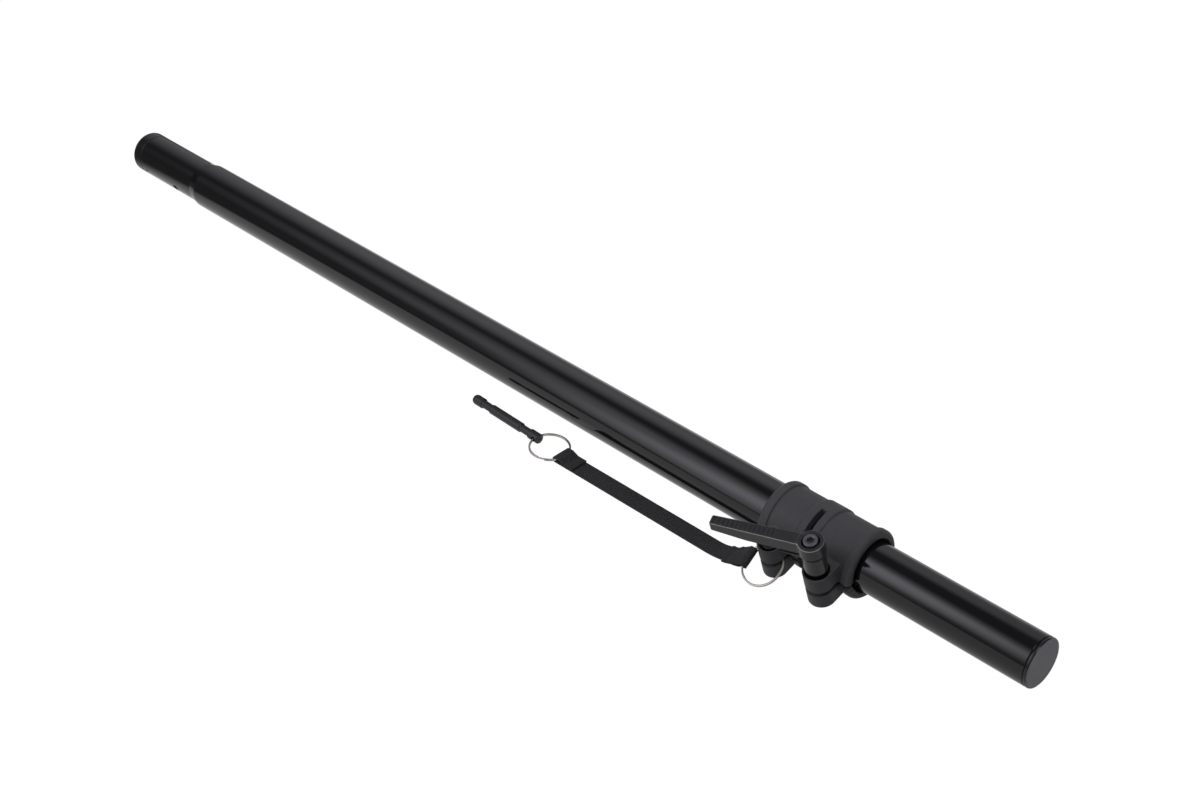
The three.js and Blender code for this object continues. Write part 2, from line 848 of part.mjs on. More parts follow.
// Sweeps the strip's section along the path and bends it with the rise and turn found at each point
function sweptStrip(path, bend) {
  const half = strapThickness / 2;
  const positions = [];
  path.forEach(([x, h], i) => {
    const [px, ph] = path[Math.max(i - 1, 0)];
    const [nx, nh] = path[Math.min(i + 1, path.length - 1)];
    const along = new THREE.Vector2(nx - px, nh - ph).normalize();
    for (const [side, face] of [[-1, -1], [1, -1], [1, 1], [-1, 1]]) {
      const sx = x - along.y * half * face;
      const sh = h + along.x * half * face;
      const { rise, turn } = bend(sx);
      const width = (side * strapWidth) / 2;
      const y = width * Math.cos(turn) - sh * Math.sin(turn);
      const z = rise + width * Math.sin(turn) + sh * Math.cos(turn);
      positions.push(sx, y, z);
    }
  });
  const index = [];
  for (let i = 0; i < path.length - 1; i += 1) {
    for (let k = 0; k < 4; k += 1) {
      const a = 4 * i + k;
      const b = 4 * i + ((k + 1) % 4);
      index.push(a, b, a + 4, b, b + 4, a + 4);
    }
  }
  const last = 4 * (path.length - 1);
  index.push(0, 2, 1, 0, 3, 2, last, last + 1, last + 2, last, last + 2, last + 3);
  return closed(strung(positions, index));
}

// The pole's tubes and caps share its axis
const pole = new THREE.Group();
addPart(pole, "outer_tube", outerTube(), paint);
addPart(pole, "stub_end_cap", stubEndCap(), capPlastic);
addPart(pole, "inner_tube", innerTube(), paint);
addPart(pole, "top_end_cap", topEndCap(), capPlastic);
addPart(pole, "inner_guide_bush", innerGuideBush(), acetal);

// The clamp turns about the pole's axis by its roll
const clamp = new THREE.Group();
clamp.position.set(collarCentre, 0, 0);
clamp.rotation.x = clampRoll;
pole.add(clamp);
addPart(clamp, "clamp_collar", clampCollar(), nylon);

// Fixed screw, which holds the collar to the outer tube
const fixedScrew = new THREE.Group();
fixedScrew.position.set(-screwSpacing / 2, -screwOffset, 0);
clamp.add(fixedScrew);
const fixedHeadTop = seatLevel + 2 * seatGap + screwWasherHeight + screwHeadHeight;
const fixedCapScrew = capScrew({
  top: fixedHeadTop,
  headRadius: screwHeadDiameter / 2,
  headHeight: screwHeadHeight,
  radius: screwRadius,
  length: fixedHeadTop - screwHeadHeight + earBelow - seatGap,
  socket: screwSocket,
  socketDepth: screwSocketDepth,
});
const fixedHole = screwRadius + seatGap;
addPart(fixedScrew, "clamp_screw", fixedCapScrew, blackSteel);
addPart(fixedScrew, "clamp_screw_washer", washer(screwWasherDiameter / 2, fixedHole, screwWasherHeight), blackSteel);
addPart(fixedScrew, "clamp_screw_nut", nut(screwNutAcross, fixedHole, screwNutHeight), zincSteel);

// Lever side, which locks the inner tube
const leverAxis = new THREE.Group();
leverAxis.position.set(screwSpacing / 2, -screwOffset, 0);
clamp.add(leverAxis);
const studHole = studRadius + seatGap;
addPart(leverAxis, "lever_washer", washer(studWasherDiameter / 2, studHole, studWasherHeight), blackSteel);
const discFrom = seatLevel + studWasherHeight + 2 * seatGap;
const thrustDisc = washer(thrustDiscDiameter / 2, studHole, thrustDiscHeight, discFrom);
addPart(leverAxis, "lever_thrust_disc", thrustDisc, nylon);
addPart(leverAxis, "lever_nut", nut(studNutAcross, studHole, studNutHeight), zincSteel);
addPart(leverAxis, "lever_spindle", leverSpindle(), blackSteel);
const leverCapScrew = capScrew({
  top: handleTop + capScrewProud,
  headRadius: capScrewHeadDiameter / 2,
  headHeight: capScrewHeadHeight,
  radius: capScrewDiameter / 2,
  length: capScrewLength,
  socket: capScrewSocket,
  socketDepth: capScrewSocketDepth,
});
addPart(leverAxis, "lever_cap_screw", leverCapScrew, blackSteel);
addPart(leverAxis, "lever_spring", leverSpring(), zincSteel);
const handle = addPart(leverAxis, "lever_handle", leverHandle(), nylon);
handle.rotation.z = armTurn;

// Tether ring: it passes through the split behind the fixed screw and leans down to the table
const ringPivot = new THREE.Group();
ringPivot.position.set(-screwSpacing / 2, -outerRadius - tetherRingReach, tetherRingRise);
ringPivot.rotation.set(tetherRingTilt, tetherRingLean, 0);
clamp.add(ringPivot);
const tetherRing = addPart(ringPivot, "tether_ring", ring(), nickel);
tetherRing.position.set(-tetherRingShift, -Math.sqrt(ringRadius ** 2 - tetherRingShift ** 2), 0);

// Where the strap's near fold holds the tether ring, and the direction of the wire there
pole.updateMatrixWorld(true);
const fold = tetherRing.localToWorld(new THREE.Vector3(-ringRadius, 0, 0));
const wire = tetherRing.localToWorld(new THREE.Vector3(-ringRadius, ringRadius, 0)).sub(fold).normalize();

// The strap, the pin ring and the pin lie in line on the table
const strapTwist = Math.atan2(wire.z, wire.y);
const strapEye = wireRadius + strapEyeGap + strapThickness / 2;
const tether = new THREE.Group();
tether.position.set(fold.x, fold.y - strapEye * Math.sin(strapTwist), tableUnder(fold.x));
tether.rotation.set(0, tableSlope, strapYaw, "ZYX");
pole.add(tether);
const foldHeight = fold.z - tableUnder(fold.x);
const strapClimb = foldHeight + strapEye * Math.cos(strapTwist) - strapThickness / 2;
addPart(tether, "tether_strap", tetherStrap(strapClimb, strapTwist), webbing);

// Pin ring: one side lies in the strap's far fold and the other in the pin's hole
const farBow = ringRadius - Math.sqrt(ringRadius ** 2 - (strapWidth / 2) ** 2);
const farWireHeight = strapThickness / 2 + strapEye;
const pinHeight = pinDiameter / 2;
const pinRingCentre = -strapRun + farBow - ringRadius;
const pinRing = addPart(tether, "pin_ring", ring(), nickel);
pinRing.position.set(pinRingCentre, 0, (farWireHeight + pinHeight) / 2);
pinRing.rotation.y = Math.atan2(pinHeight - farWireHeight, 2 * ringRadius);
const pin = addPart(tether, "locking_pin", lockingPin(), blackSteel);
const pinBack = ringRadius * Math.cos(pinSeatTurn);
const pinSide = ringRadius * Math.sin(pinSeatTurn);
pin.position.set(pinRingCentre - pinBack, pinSide, pinHeight);
pin.rotation.z = pinYaw;

export default pole;
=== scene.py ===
# %% [markdown]
# # A telescopic speaker pole
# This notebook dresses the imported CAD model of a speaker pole: two black tubes, a split clamp
# collar with a lever, and a locking pin on a webbing tether. The pole lies along +X on a table.
# Blender works in metres and in the CAD model's own frame. Sizes are written in millimetres and
# scaled by MM when a mesh is made. Each piece rides on the body that carries it.

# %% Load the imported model
import math

import bmesh
import bpy
import numpy as np
from mathutils import Matrix, Vector


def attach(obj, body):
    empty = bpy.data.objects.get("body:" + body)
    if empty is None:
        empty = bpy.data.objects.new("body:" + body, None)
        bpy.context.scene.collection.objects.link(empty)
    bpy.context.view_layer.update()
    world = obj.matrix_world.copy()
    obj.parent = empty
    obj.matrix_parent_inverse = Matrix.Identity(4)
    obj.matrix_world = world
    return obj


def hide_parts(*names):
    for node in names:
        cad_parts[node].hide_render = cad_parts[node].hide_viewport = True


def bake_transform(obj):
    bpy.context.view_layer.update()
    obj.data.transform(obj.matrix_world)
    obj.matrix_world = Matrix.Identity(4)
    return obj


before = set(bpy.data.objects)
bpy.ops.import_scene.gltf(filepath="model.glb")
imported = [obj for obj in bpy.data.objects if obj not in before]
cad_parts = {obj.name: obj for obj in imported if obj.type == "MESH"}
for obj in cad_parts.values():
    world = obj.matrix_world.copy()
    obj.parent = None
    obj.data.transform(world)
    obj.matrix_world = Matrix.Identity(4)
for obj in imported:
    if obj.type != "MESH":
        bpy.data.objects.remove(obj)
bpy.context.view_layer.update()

MM = 0.001


def put_in_scene(name, data):
    """Make an object of some data and link it to the scene."""
    made = bpy.data.objects.new(name, data)
    bpy.context.scene.collection.objects.link(made)
    return made


def tell(kind, *made):
    print(kind, "made:", ", ".join(one.name for one in made))


# %% [markdown]
# ## Sizes
# The photograph gave these sizes through its solved camera, and the CAD model uses the same ones.
# The clamp has a frame of its own: s runs along the pole from the collar's middle, a runs out
# along the ears, and b runs up the clamp screws. That frame is turned about the pole's axis by
# the roll with which the pole lies on the table.


# %% Sizes and the clamp's own frame
def shift(x=0.0, y=0.0, z=0.0):
    """A move by millimetres."""
    return Matrix.Translation((x, y, z))


def turn(degrees, axis):
    """A turn about an axis."""
    return Matrix.Rotation(math.radians(degrees), 4, axis)


OUTER_RADIUS = 19.0
INNER_RADIUS = 17.5
FLANGE_RADIUS = 24.7
COLLAR_START = 730.6
COLLAR_LENGTH = 78.4
COLLAR_END = COLLAR_START + COLLAR_LENGTH
SCREW_SPACING = 39.9
SCREW_OFFSET = 30.1
CLAMP_ROLL = 17.5
ARM_TURN = 198.9

CLAMP_FRAME = shift(COLLAR_START + COLLAR_LENGTH / 2) @ turn(CLAMP_ROLL, "X")
FIXED_SCREW = CLAMP_FRAME @ shift(-SCREW_SPACING / 2, -SCREW_OFFSET)
LEVER_AXIS = CLAMP_FRAME @ shift(SCREW_SPACING / 2, -SCREW_OFFSET)

# The pole rests on the rim of its stub cap and on the collar's first flange.
STUB_TOUCH = 2.7
FLANGE_TOUCH = COLLAR_START + 3.5
TABLE_SLOPE = math.atan2(FLANGE_RADIUS - INNER_RADIUS, FLANGE_TOUCH - STUB_TOUCH)


def table_under(x):
    """Height of the table below the pole's axis at x."""
    return -FLANGE_RADIUS + (FLANGE_TOUCH - x) * math.tan(TABLE_SLOPE)


print("table slope:", round(math.degrees(TABLE_SLOPE), 2), "degrees")

# %% [markdown]
# ## Camera
# The two straight edges of each tube, its known diameter and the ellipses of its ends fix where
# the camera stood. A long lens from about 1.8 m away gives the gentle narrowing towards the far
# end. The camera is set first, so that every later piece can be compared with the photograph.

# %% The solved camera
CAMERA_PLACE = (1.3764, -0.8162, 0.8111)
LOOK = Vector((-0.58009, 0.58071, -0.57121))
RIGHT = Vector((0.70748, 0.70673, 0.0))
UP = RIGHT.cross(LOOK)

camera_data = bpy.data.cameras.new("camera")
camera_data.sensor_fit = "HORIZONTAL"
camera_data.sensor_width = 36
camera_data.lens = 59.04
camera = put_in_scene("camera", camera_data)
camera_turn = Matrix((RIGHT, UP, -LOOK)).transposed().to_4x4()
camera.matrix_world = Matrix.Translation(CAMERA_PLACE) @ camera_turn
bpy.context.scene.camera = camera
print("camera at", [round(v, 3) for v in camera.location])

# %% [markdown]
# ## Shared helpers for meshes
# A turned piece is a profile spun about an axis. Its corners are rounded first, and short extra
# rings beside each rounding keep the long straight faces evenly shaded. Sharp edges are marked by
# their angle, so that one smooth setting serves every piece.


# %% Profiles
def rounded(corners, steps=5, closed=True):
    """Turn corners (x, y, radius) into points, with an arc at each corner that has a radius."""
    points = []
    count = len(corners)
    for i, corner in enumerate(corners):
        here = np.array(corner[:2], float)
        radius = corner[2] if len(corner) > 2 else 0
        if radius == 0 or (not closed and i in (0, count - 1)):
            points.append(here)
            continue
        back = np.array(corners[i - 1][:2], float) - here
        ahead = np.array(corners[(i + 1) % count][:2], float) - here
        back /= np.linalg.norm(back)
        ahead /= np.linalg.norm(ahead)
        half = math.acos(np.clip(back @ ahead, -1, 1)) / 2
        reach = radius / math.tan(half)
        towards = (back + ahead) / np.linalg.norm(back + ahead)
        middle = towards * radius / math.sin(half) + here
        first = here + back * reach - middle
        last = here + ahead * reach - middle
        sweep = math.atan2(first[0] * last[1] - first[1] * last[0], first @ last)
        for k in range(steps + 1):
            c, s = math.cos(sweep * k / steps), math.sin(sweep * k / steps)
            arm = np.array((first[0] * c - first[1] * s, first[0] * s + first[1] * c))
            points.append(middle + arm)
    return points


def with_rings(points, closed, margin=0.4, longest=30.0):
    """Add points beside the corners of each long stretch, and along it."""
    result = []
    count = len(points)
    for i in range(count if closed else count - 1):
        a, b = points[i], points[(i + 1) % count]
        length = np.linalg.norm(b - a)
        result.append(a)
        if length > 4 * margin:
            inner = int(length // longest)
            shares = [margin / length]
            shares += [(k + 1) / (inner + 1) for k in range(inner)]
            shares.append(1 - margin / length)
            result += [a + (b - a) * share for share in shares]
    if not closed:
        result.append(points[-1])
    return result


# %% Pieces
def dress_mesh(mesh, sharp=34, weld=0.0):
    """Weld a mesh, turn it outwards, and make it smooth but for edges above the sharp angle."""
    work = bmesh.new()
    work.from_mesh(mesh)
    if weld:
        bmesh.ops.remove_doubles(work, verts=work.verts, dist=weld)
        bmesh.ops.dissolve_degenerate(work, edges=work.edges, dist=weld / 10)
    bmesh.ops.recalc_face_normals(work, faces=work.faces)
    for face in work.faces:
        face.smooth = True
    for edge in work.edges:
        joined = len(edge.link_faces) == 2
        edge.smooth = joined and edge.calc_face_angle(0) <= math.radians(sharp)
    work.to_mesh(mesh)
    work.free()


def make_piece(name, verts, faces, matrix=Matrix(), sharp=34, weld=1e-6):
    """Make a piece in metres from points in millimetres."""
    mesh = bpy.data.meshes.new(name)
    mesh.from_pydata([matrix @ Vector(v) * MM for v in verts], [], faces)
    dress_mesh(mesh, sharp, weld)
    return put_in_scene(name, mesh)


def turned(name, corners, sides=128, matrix=Matrix(), axis="X", steps=5):
    """Spin corners (along, radius, rounding). A profile that starts on the axis is solid."""
    solid = corners[0][1] == 0
    points = with_rings(rounded(corners, steps, closed=not solid), closed=not solid)
    verts, faces, rows = [], [], []
    for along, radius in points:
        if radius < 1e-9:
            rows.append([len(verts)])
            verts.append((along, 0, 0))
            continue
        rows.append(list(range(len(verts), len(verts) + sides)))
        for k in range(sides):
            angle = 2 * math.pi * k / sides
            verts.append((along, radius * math.cos(angle), radius * math.sin(angle)))
    pairs = list(zip(rows, rows[1:])) + ([] if solid else [(rows[-1], rows[0])])
    for one, two in pairs:
        for k in range(sides):
            m = (k + 1) % sides
            if len(one) == 1 and len(two) > 1:
                faces.append((one[0], two[m], two[k]))
            elif len(two) == 1 and len(one) > 1:
                faces.append((one[k], one[m], two[0]))
            elif len(one) > 1:
                faces.append((one[k], one[m], two[m], two[k]))
    if axis == "Z":
        verts = [(-z, y, x) for x, y, z in verts]
    return make_piece(name, verts, faces, matrix)


def rod(low, high, radius, sides=128, matrix=Matrix(), axis="Z"):
    """A plain rod, used to cut another piece or to join it."""
    corners = [(low, 0), (low, radius), (high, radius), (high, 0)]
    return turned("cutter", corners, sides, matrix, axis)


def swept_faces(rows, sides):
    """Faces of a closed tube with this many rows of points and this many points in each."""
    faces = []
    for i in range(rows - 1):
        for k in range(sides):
            m = (k + 1) % sides
            faces.append((i * sides + k, i * sides + m, (i + 1) * sides + m, (i + 1) * sides + k))
    faces.append(tuple(range(sides)))
    faces.append(tuple(range((rows - 1) * sides, rows * sides))[::-1])
    return faces


def plain_mesh(piece):
    """The mesh that a piece's modifiers make."""
    return bpy.data.meshes.new_from_object(
        piece.evaluated_get(bpy.context.evaluated_depsgraph_get())
    )


def cut(piece, cutters, operation="DIFFERENCE"):
    """Cut other pieces out of one, or join them to it, and throw them away."""
    for cutter in cutters:
        modifier = piece.modifiers.new("cut", "BOOLEAN")
        modifier.operation = operation
        modifier.solver = "EXACT"
        modifier.object = cutter
    plain = plain_mesh(piece)
    piece.modifiers.clear()
    piece.data = plain
    for cutter in cutters:
        bpy.data.objects.remove(cutter)
    dress_mesh(piece.data)


def finish_piece(piece, material, body, slot, *nodes):
    """Give a piece its material and its body, and hide the CAD nodes that it stands for."""
    piece.data.materials.clear()
    piece.data.materials.append(material)
    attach(piece, body)
    if nodes:
        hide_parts(*nodes)
    print(piece.name, "has", len(piece.data.polygons), "faces and rides on", body)


# %% [markdown]
# ## Helpers for nodes
# Shader and geometry trees are built by the same few helpers. Each one adds a node, feeds its
# sockets with numbers or with other sockets, and returns what comes out.


# %% Helpers for all node trees
def feed(tree, socket, value):
    """Give a socket a value, or link another socket to it."""
    if isinstance(value, bpy.types.NodeSocket):
        tree.links.new(value, socket)
    else:
        socket.default_value = value


def add_node(tree, kind, inputs=(), **settings):
    """Add a node, set its properties and feed its inputs."""
    node = tree.nodes.new(kind)
    for name, value in settings.items():
        setattr(node, name, value)
    for socket, value in dict(inputs).items():
        feed(tree, node.inputs[socket], value)
    return node


def first_of(tree, kind, inputs=(), **settings):
    """Add a node and return its first output."""
    return add_node(tree, kind, inputs, **settings).outputs[0]


SOCKET_KINDS = {
    float: "NodeSocketFloat",
    int: "NodeSocketInt",
    tuple: "NodeSocketColor",
    type(None): "NodeSocketMaterial",
}


def new_group(kind, name, inputs, outputs):
    """Start a node group. The default value of an input tells what kind of socket it is."""
    group = bpy.data.node_groups.new(name, kind)
    for socket, value in inputs.items():
        socket_type = SOCKET_KINDS[type(value)]
        made = group.interface.new_socket(socket, in_out="INPUT", socket_type=socket_type)
        if value is not None:
            made.default_value = value
    for socket, socket_type in outputs.items():
        group.interface.new_socket(socket, in_out="OUTPUT", socket_type=socket_type)
    given = group.nodes.new("NodeGroupInput").outputs
    return group, given, group.nodes.new("NodeGroupOutput").inputs


def calc(tree, operation, *values):
    """A Math node."""
    return first_of(tree, "ShaderNodeMath", enumerate(values), operation=operation)


def map_range(tree, value, low, high, to_low=0.0, to_high=1.0, smooth=True):
    """Turn the range from low to high into another one, with soft ends or without."""
    inputs = {"Value": value, "From Min": low, "From Max": high}
    inputs |= {"To Min": to_low, "To Max": to_high}
    kind = "SMOOTHSTEP" if smooth else "LINEAR"
    return add_node(tree, "ShaderNodeMapRange", inputs, interpolation_type=kind).outputs["Result"]


def mix(tree, factor, a, b, kind="RGBA"):
    """From a to b, as the factor goes from 0 to 1."""
    inputs = {"Factor": factor, "A": a, "B": b}
    return add_node(tree, "ShaderNodeMix", inputs, data_type=kind).outputs["Result"]


def separate(tree, vector):
    """The three parts of a vector."""
    return add_node(tree, "ShaderNodeSeparateXYZ", {0: vector}).outputs


def object_place(tree):
    """Object coordinates, in metres."""
    return tree.nodes.new("ShaderNodeTexCoord").outputs["Object"]


def noise(tree, scale, detail, roughness=0.5):
    """A 3D noise that has the same real size on every piece."""
    inputs = {"Scale": scale, "Detail": detail, "Roughness": roughness}
    inputs["Vector"] = object_place(tree)
    return add_node(tree, "ShaderNodeTexNoise", inputs).outputs["Fac"]


def bump(tree, height, distance):
    """A bump as high as distance, in metres."""
    inputs = {"Height": height, "Strength": 1.0, "Distance": distance}
    return add_node(tree, "ShaderNodeBump", inputs).outputs["Normal"]


# %% [markdown]
# ## Shader groups
# Several finishes share the same effects, so each effect is one node group with named sockets.
# Moulded grain is the fine spark-eroded texture of an injection mould. Soft mottling varies a
# colour or a roughness a little from place to place, as handling and dust do.


# %% The moulded grain group
def roughness_between(group, given, value, low, high):
    """A roughness between the group's two, as the value goes from low to high."""
    limits = given["Roughness low"], given["Roughness high"]
    return map_range(group, value, low, high, *limits, smooth=False)


def build_moulded_grain():
    group, given, out = new_group(
        "ShaderNodeTree",
        "Moulded grain",
        {"Grain size": 0.0004, "Depth": 0.00003, "Roughness low": 0.5, "Roughness high": 0.7},
        {"Normal": "NodeSocketVector", "Roughness": "NodeSocketFloat"},
    )
    scale = calc(group, "DIVIDE", 1.0, given["Grain size"])
    fine = noise(group, scale, 3.0, 0.6)
    coarse = noise(group, calc(group, "MULTIPLY", scale, 0.12), 2.0)
    feed(group, out["Normal"], bump(group, fine, given["Depth"]))
    feed(group, out["Roughness"], roughness_between(group, given, coarse, 0.3, 0.7))
    return group


MOULDED_GRAIN = build_moulded_grain()
tell("group", MOULDED_GRAIN)


# %% The soft mottling group
def build_mottle():
    group, given, out = new_group(
        "ShaderNodeTree",
        "Soft mottling",
        {
            "Light": (0.05, 0.05, 0.05, 1),
            "Dark": (0.01, 0.01, 0.01, 1),
            "Patch size": 0.02,
            "Roughness low": 0.2,
            "Roughness high": 0.3,
        },
        {"Color": "NodeSocketColor", "Roughness": "NodeSocketFloat"},
    )
    patches = noise(group, calc(group, "DIVIDE", 1.0, given["Patch size"]), 4.0, 0.55)
    feed(group, out["Color"], mix(group, patches, given["Dark"], given["Light"]))
    feed(group, out["Roughness"], roughness_between(group, given, patches, 0.0, 1.0))
    return group


SOFT_MOTTLE = build_mottle()
tell("group", SOFT_MOTTLE)


# %% Helpers for materials
def new_material(name):
    """Start a material and return it with its tree."""
    material = bpy.data.materials.new(name)
    material.use_nodes = True
    return material, material.node_tree


def feed_shader(tree, values):
    """Feed the sockets of a material's Principled BSDF."""
    for socket, value in values.items():
        feed(tree, tree.nodes["Principled BSDF"].inputs[socket], value)


def place_group(tree, group, values, roughness):
    """Place a shared group in a material with its own values."""
    values = {**values, "Roughness low": roughness[0], "Roughness high": roughness[1]}
    return add_node(tree, "ShaderNodeGroup", values, node_tree=group).outputs


def tone(red, green=None, blue=None):
    """A colour in linear light. One number makes a grey."""
    return (red, red if green is None else green, red if blue is None else blue, 1)


def mottled(name, light, dark, patch, roughness):
    """Start a material whose colour and roughness vary softly from place to place."""
    material, tree = new_material(name)
    values = {"Light": light, "Dark": dark, "Patch size": patch}
    mottle = place_group(tree, SOFT_MOTTLE, values, roughness)
    feed_shader(tree, {"Base Color": mottle["Color"], "Roughness": mottle["Roughness"]})
    return material, tree


# %% [markdown]
# ## Tube paint
# The tubes are powder coated in a gloss black that reflects the studio almost like a mirror. The
# colour under the gloss is nearly black. Powder coat is never quite flat, so a faint orange peel,
# a few millimetres across and about a micrometre deep, bends the reflections a little.


# %% Gloss black tube paint
PEEL_SCALE = 420.0
PEEL_DEPTH = 0.0000012


def tube_paint():
    light, dark = tone(0.0085, 0.0085, 0.0088), tone(0.006, 0.006, 0.0063)
    material, tree = mottled("gloss_black_powder_coat", light, dark, 0.03, (0.08, 0.12))
    peel = noise(tree, PEEL_SCALE, 1.0)
    feed_shader(tree, {"Normal": bump(tree, peel, PEEL_DEPTH), "IOR": 1.5})
    return material


TUBE_PAINT = tube_paint()
tell("material", TUBE_PAINT)

# %% [markdown]
# ## Plastics
# The collar, the lever and the caps are black glass-filled nylon from moulds with a fine grain.
# The same grain group serves all of them, with its own size and depth on each. The lever's top
# edge has a painted highlight: a pale colour where the mesh marks it.


# %% Black nylon, cap plastic and bush plastic
PLASTIC_PATCH = 0.006
PLASTIC_GLOSS = (0.2, 0.3)


def moulded_plastic(name, light, dark, grain, depth, roughness, shine=0.5):
    material, tree = mottled(name, light, dark, PLASTIC_PATCH, PLASTIC_GLOSS)
    relief = place_group(tree, MOULDED_GRAIN, {"Grain size": grain, "Depth": depth}, roughness)
    feed_shader(tree, {"Roughness": relief["Roughness"], "Normal": relief["Normal"]})
    feed_shader(tree, {"IOR": 1.5, "Specular IOR Level": shine})
    return material


NYLON = moulded_plastic(
    "black_grained_nylon",
    tone(0.092, 0.092, 0.094), tone(0.077, 0.077, 0.079),
    grain=0.0006, depth=0.00006, roughness=(0.42, 0.52), shine=0.12,
)
LEVER_NYLON = moulded_plastic(
    "black_satin_nylon",
    tone(0.046, 0.046, 0.0465), tone(0.038, 0.038, 0.0385),
    grain=0.0006, depth=0.000006, roughness=(0.2, 0.28), shine=0.3,
)
CAP_PLASTIC = moulded_plastic(
    "gloss_cap_plastic",
    tone(0.012), tone(0.008), grain=0.0008, depth=0.000004, roughness=(0.2, 0.3),
)
CAP_FACE = moulded_plastic(
    "frosted_cap_face",
    tone(0.28, 0.277, 0.287), tone(0.245, 0.242, 0.252),
    grain=0.0006, depth=0.00004, roughness=(0.6, 0.75),
)
BUSH_PLASTIC = moulded_plastic(
    "natural_acetal",
    tone(0.68, 0.67, 0.62), tone(0.62, 0.61, 0.56),
    grain=0.0008, depth=0.00001, roughness=(0.35, 0.45),
)


def add_painted_edge_highlight(material, highlight_color):
    """Paint a pale highlight into a material's colour where the mesh marks its edge."""
    tree = material.node_tree
    color = tree.nodes["Principled BSDF"].inputs["Base Color"].links[0].from_socket
    painted_highlight = add_node(tree, "ShaderNodeAttribute", attribute_name="painted_edge_highlight").outputs["Fac"]
    feed_shader(tree, {"Base Color": mix(tree, painted_highlight, color, highlight_color)})


# The lever's rounded top edge gets a painted highlight in this pale colour.
add_painted_edge_highlight(LEVER_NYLON, tone(0.4, 0.39, 0.37))
tell("plastics", NYLON, LEVER_NYLON, CAP_PLASTIC, CAP_FACE, BUSH_PLASTIC)

# %% [markdown]
# ## Metals
# The screws, the spindle and the pin are steel with a dark finish, which is still metal. The nuts
# and the spring are zinc plated. The rings are nickel, with a faint warm tint.


# %% Steels, zinc and nickel
def metal(name, light, dark, patch, roughness, metallic=1.0):
    material, tree = mottled(name, light, dark, patch, roughness)
    feed_shader(tree, {"Metallic": metallic})
    return material


BLACK_STEEL = metal("black_oxide_steel", tone(0.06), tone(0.035), 0.004, (0.28, 0.42), 0.8)
GREY_STEEL = metal(
    "grey_phosphated_steel", tone(0.2, 0.2, 0.21), tone(0.15, 0.15, 0.16), 0.002, (0.32, 0.45), 0.65
)
ZINC_STEEL = metal(
    "zinc_plated_steel", tone(0.5, 0.51, 0.52), tone(0.38, 0.39, 0.4), 0.003, (0.25, 0.4)
)
NICKEL = metal(
    "bright_nickel", tone(0.58, 0.54, 0.49), tone(0.48, 0.445, 0.405), 0.004, (0.3, 0.4)
)
PIN_STEEL = metal(
    "burnished_black_steel",
    tone(0.058, 0.058, 0.061), tone(0.046, 0.046, 0.049), 0.004, (0.32, 0.38), 0.7,
)
tell("metals", BLACK_STEEL, GREY_STEEL, ZINC_STEEL, NICKEL, PIN_STEEL)

# %% [markdown]
# ## Outer tube
# The outer tube is one drawn tube: a 35 mm stub that plugs into a subwoofer, a short swage, and
# the 38 mm body that ends inside the collar. The lock hole and the nub hole go right through the
# stub. A turned profile gives the tube, and plain rods cut the holes.

# %% Outer tube with its holes
STUB_HOLE_ROLL = 25.5
LOCK_HOLE = 60.4
LOCK_HOLE_RINGS = (56.0, 65.0)
LOCK_HOLE_RADIUS = 3.0
NUB_HOLE = 17.0
NUB_HOLE_RADIUS = 1.6
CAP_SEAT = 12.0
STUB_END = 84.0
SWAGE_END = 92.5
OUTER_END = 764.6
OUTER_WALL = 1.0
LIP = 0.45
BEND = 1.6
CUTTER_REACH = 20


def cross_rod(along, radius, reach=CUTTER_REACH, roll=STUB_HOLE_ROLL):
    """A rod across the pole's axis, turned about that axis by roll from level."""
    return rod(-reach, reach, radius, 48, shift(along) @ turn(90 + roll, "X"))


outer_tube = turned(
    "outer_tube_painted",
    [
        (CAP_SEAT, INNER_RADIUS - OUTER_WALL),
        (CAP_SEAT, INNER_RADIUS, LIP),
        *((x, INNER_RADIUS) for x in LOCK_HOLE_RINGS),
        (STUB_END, INNER_RADIUS, BEND),
        (SWAGE_END, OUTER_RADIUS, BEND),
        (OUTER_END, OUTER_RADIUS, 0.3),
        (OUTER_END, OUTER_RADIUS - OUTER_WALL),
        (SWAGE_END, OUTER_RADIUS - OUTER_WALL, BEND),
        (STUB_END, INNER_RADIUS - OUTER_WALL, BEND),
    ],
)
cut(outer_tube, [cross_rod(LOCK_HOLE, LOCK_HOLE_RADIUS), cross_rod(NUB_HOLE, NUB_HOLE_RADIUS)])
finish_piece(outer_tube, TUBE_PAINT, "outer", "tube_paint", "outer_tube")

# %% [markdown]
# ## Inner tube
# The inner tube slides in the outer one. When the pole is drawn out, the locking pin goes through
# one of its cross holes above the collar. At rest the holes are hidden in the outer tube.

# %% Inner tube with its pin holes
INNER_START = 112.0
INNER_END = 936.7
INNER_BORE = 16.0
PIN_HOLE_RADIUS = 4.1
PIN_HOLE_PITCH = 60
PIN_HOLE_PLACES = [COLLAR_END - 92 - PIN_HOLE_PITCH * i for i in range(7)]

inner_tube = turned(
    "inner_tube_painted",
    [
        (INNER_START, INNER_BORE),
        (INNER_START, INNER_RADIUS, 0.3),
        (INNER_END, INNER_RADIUS, LIP),
        (INNER_END, INNER_BORE),
    ],
)
cut(inner_tube, [cross_rod(place, PIN_HOLE_RADIUS, roll=0) for place in PIN_HOLE_PLACES])
finish_piece(inner_tube, TUBE_PAINT, "inner", "tube_paint", "inner_tube")

# %% [markdown]
# ## End caps
# Each tube is closed by a moulded cap whose plug holds it in the bore. The stub's cap has a
# rounded rim, and its two nubs snap into the small holes of the stub. They are one rod, joined to
# the plug. The top cap has a fine groove against the tube, a rounded rim and a flat grey face.

# %% Stub end cap
STUB_PLUG_BORE = 13.7
STUB_PLUG_RADIUS = 16.2
STUB_PLUG_END = 36
STUB_CAP_SHOULDER = 11.7
NUB_RADIUS = 1.3
NUB_REACH = 16.9

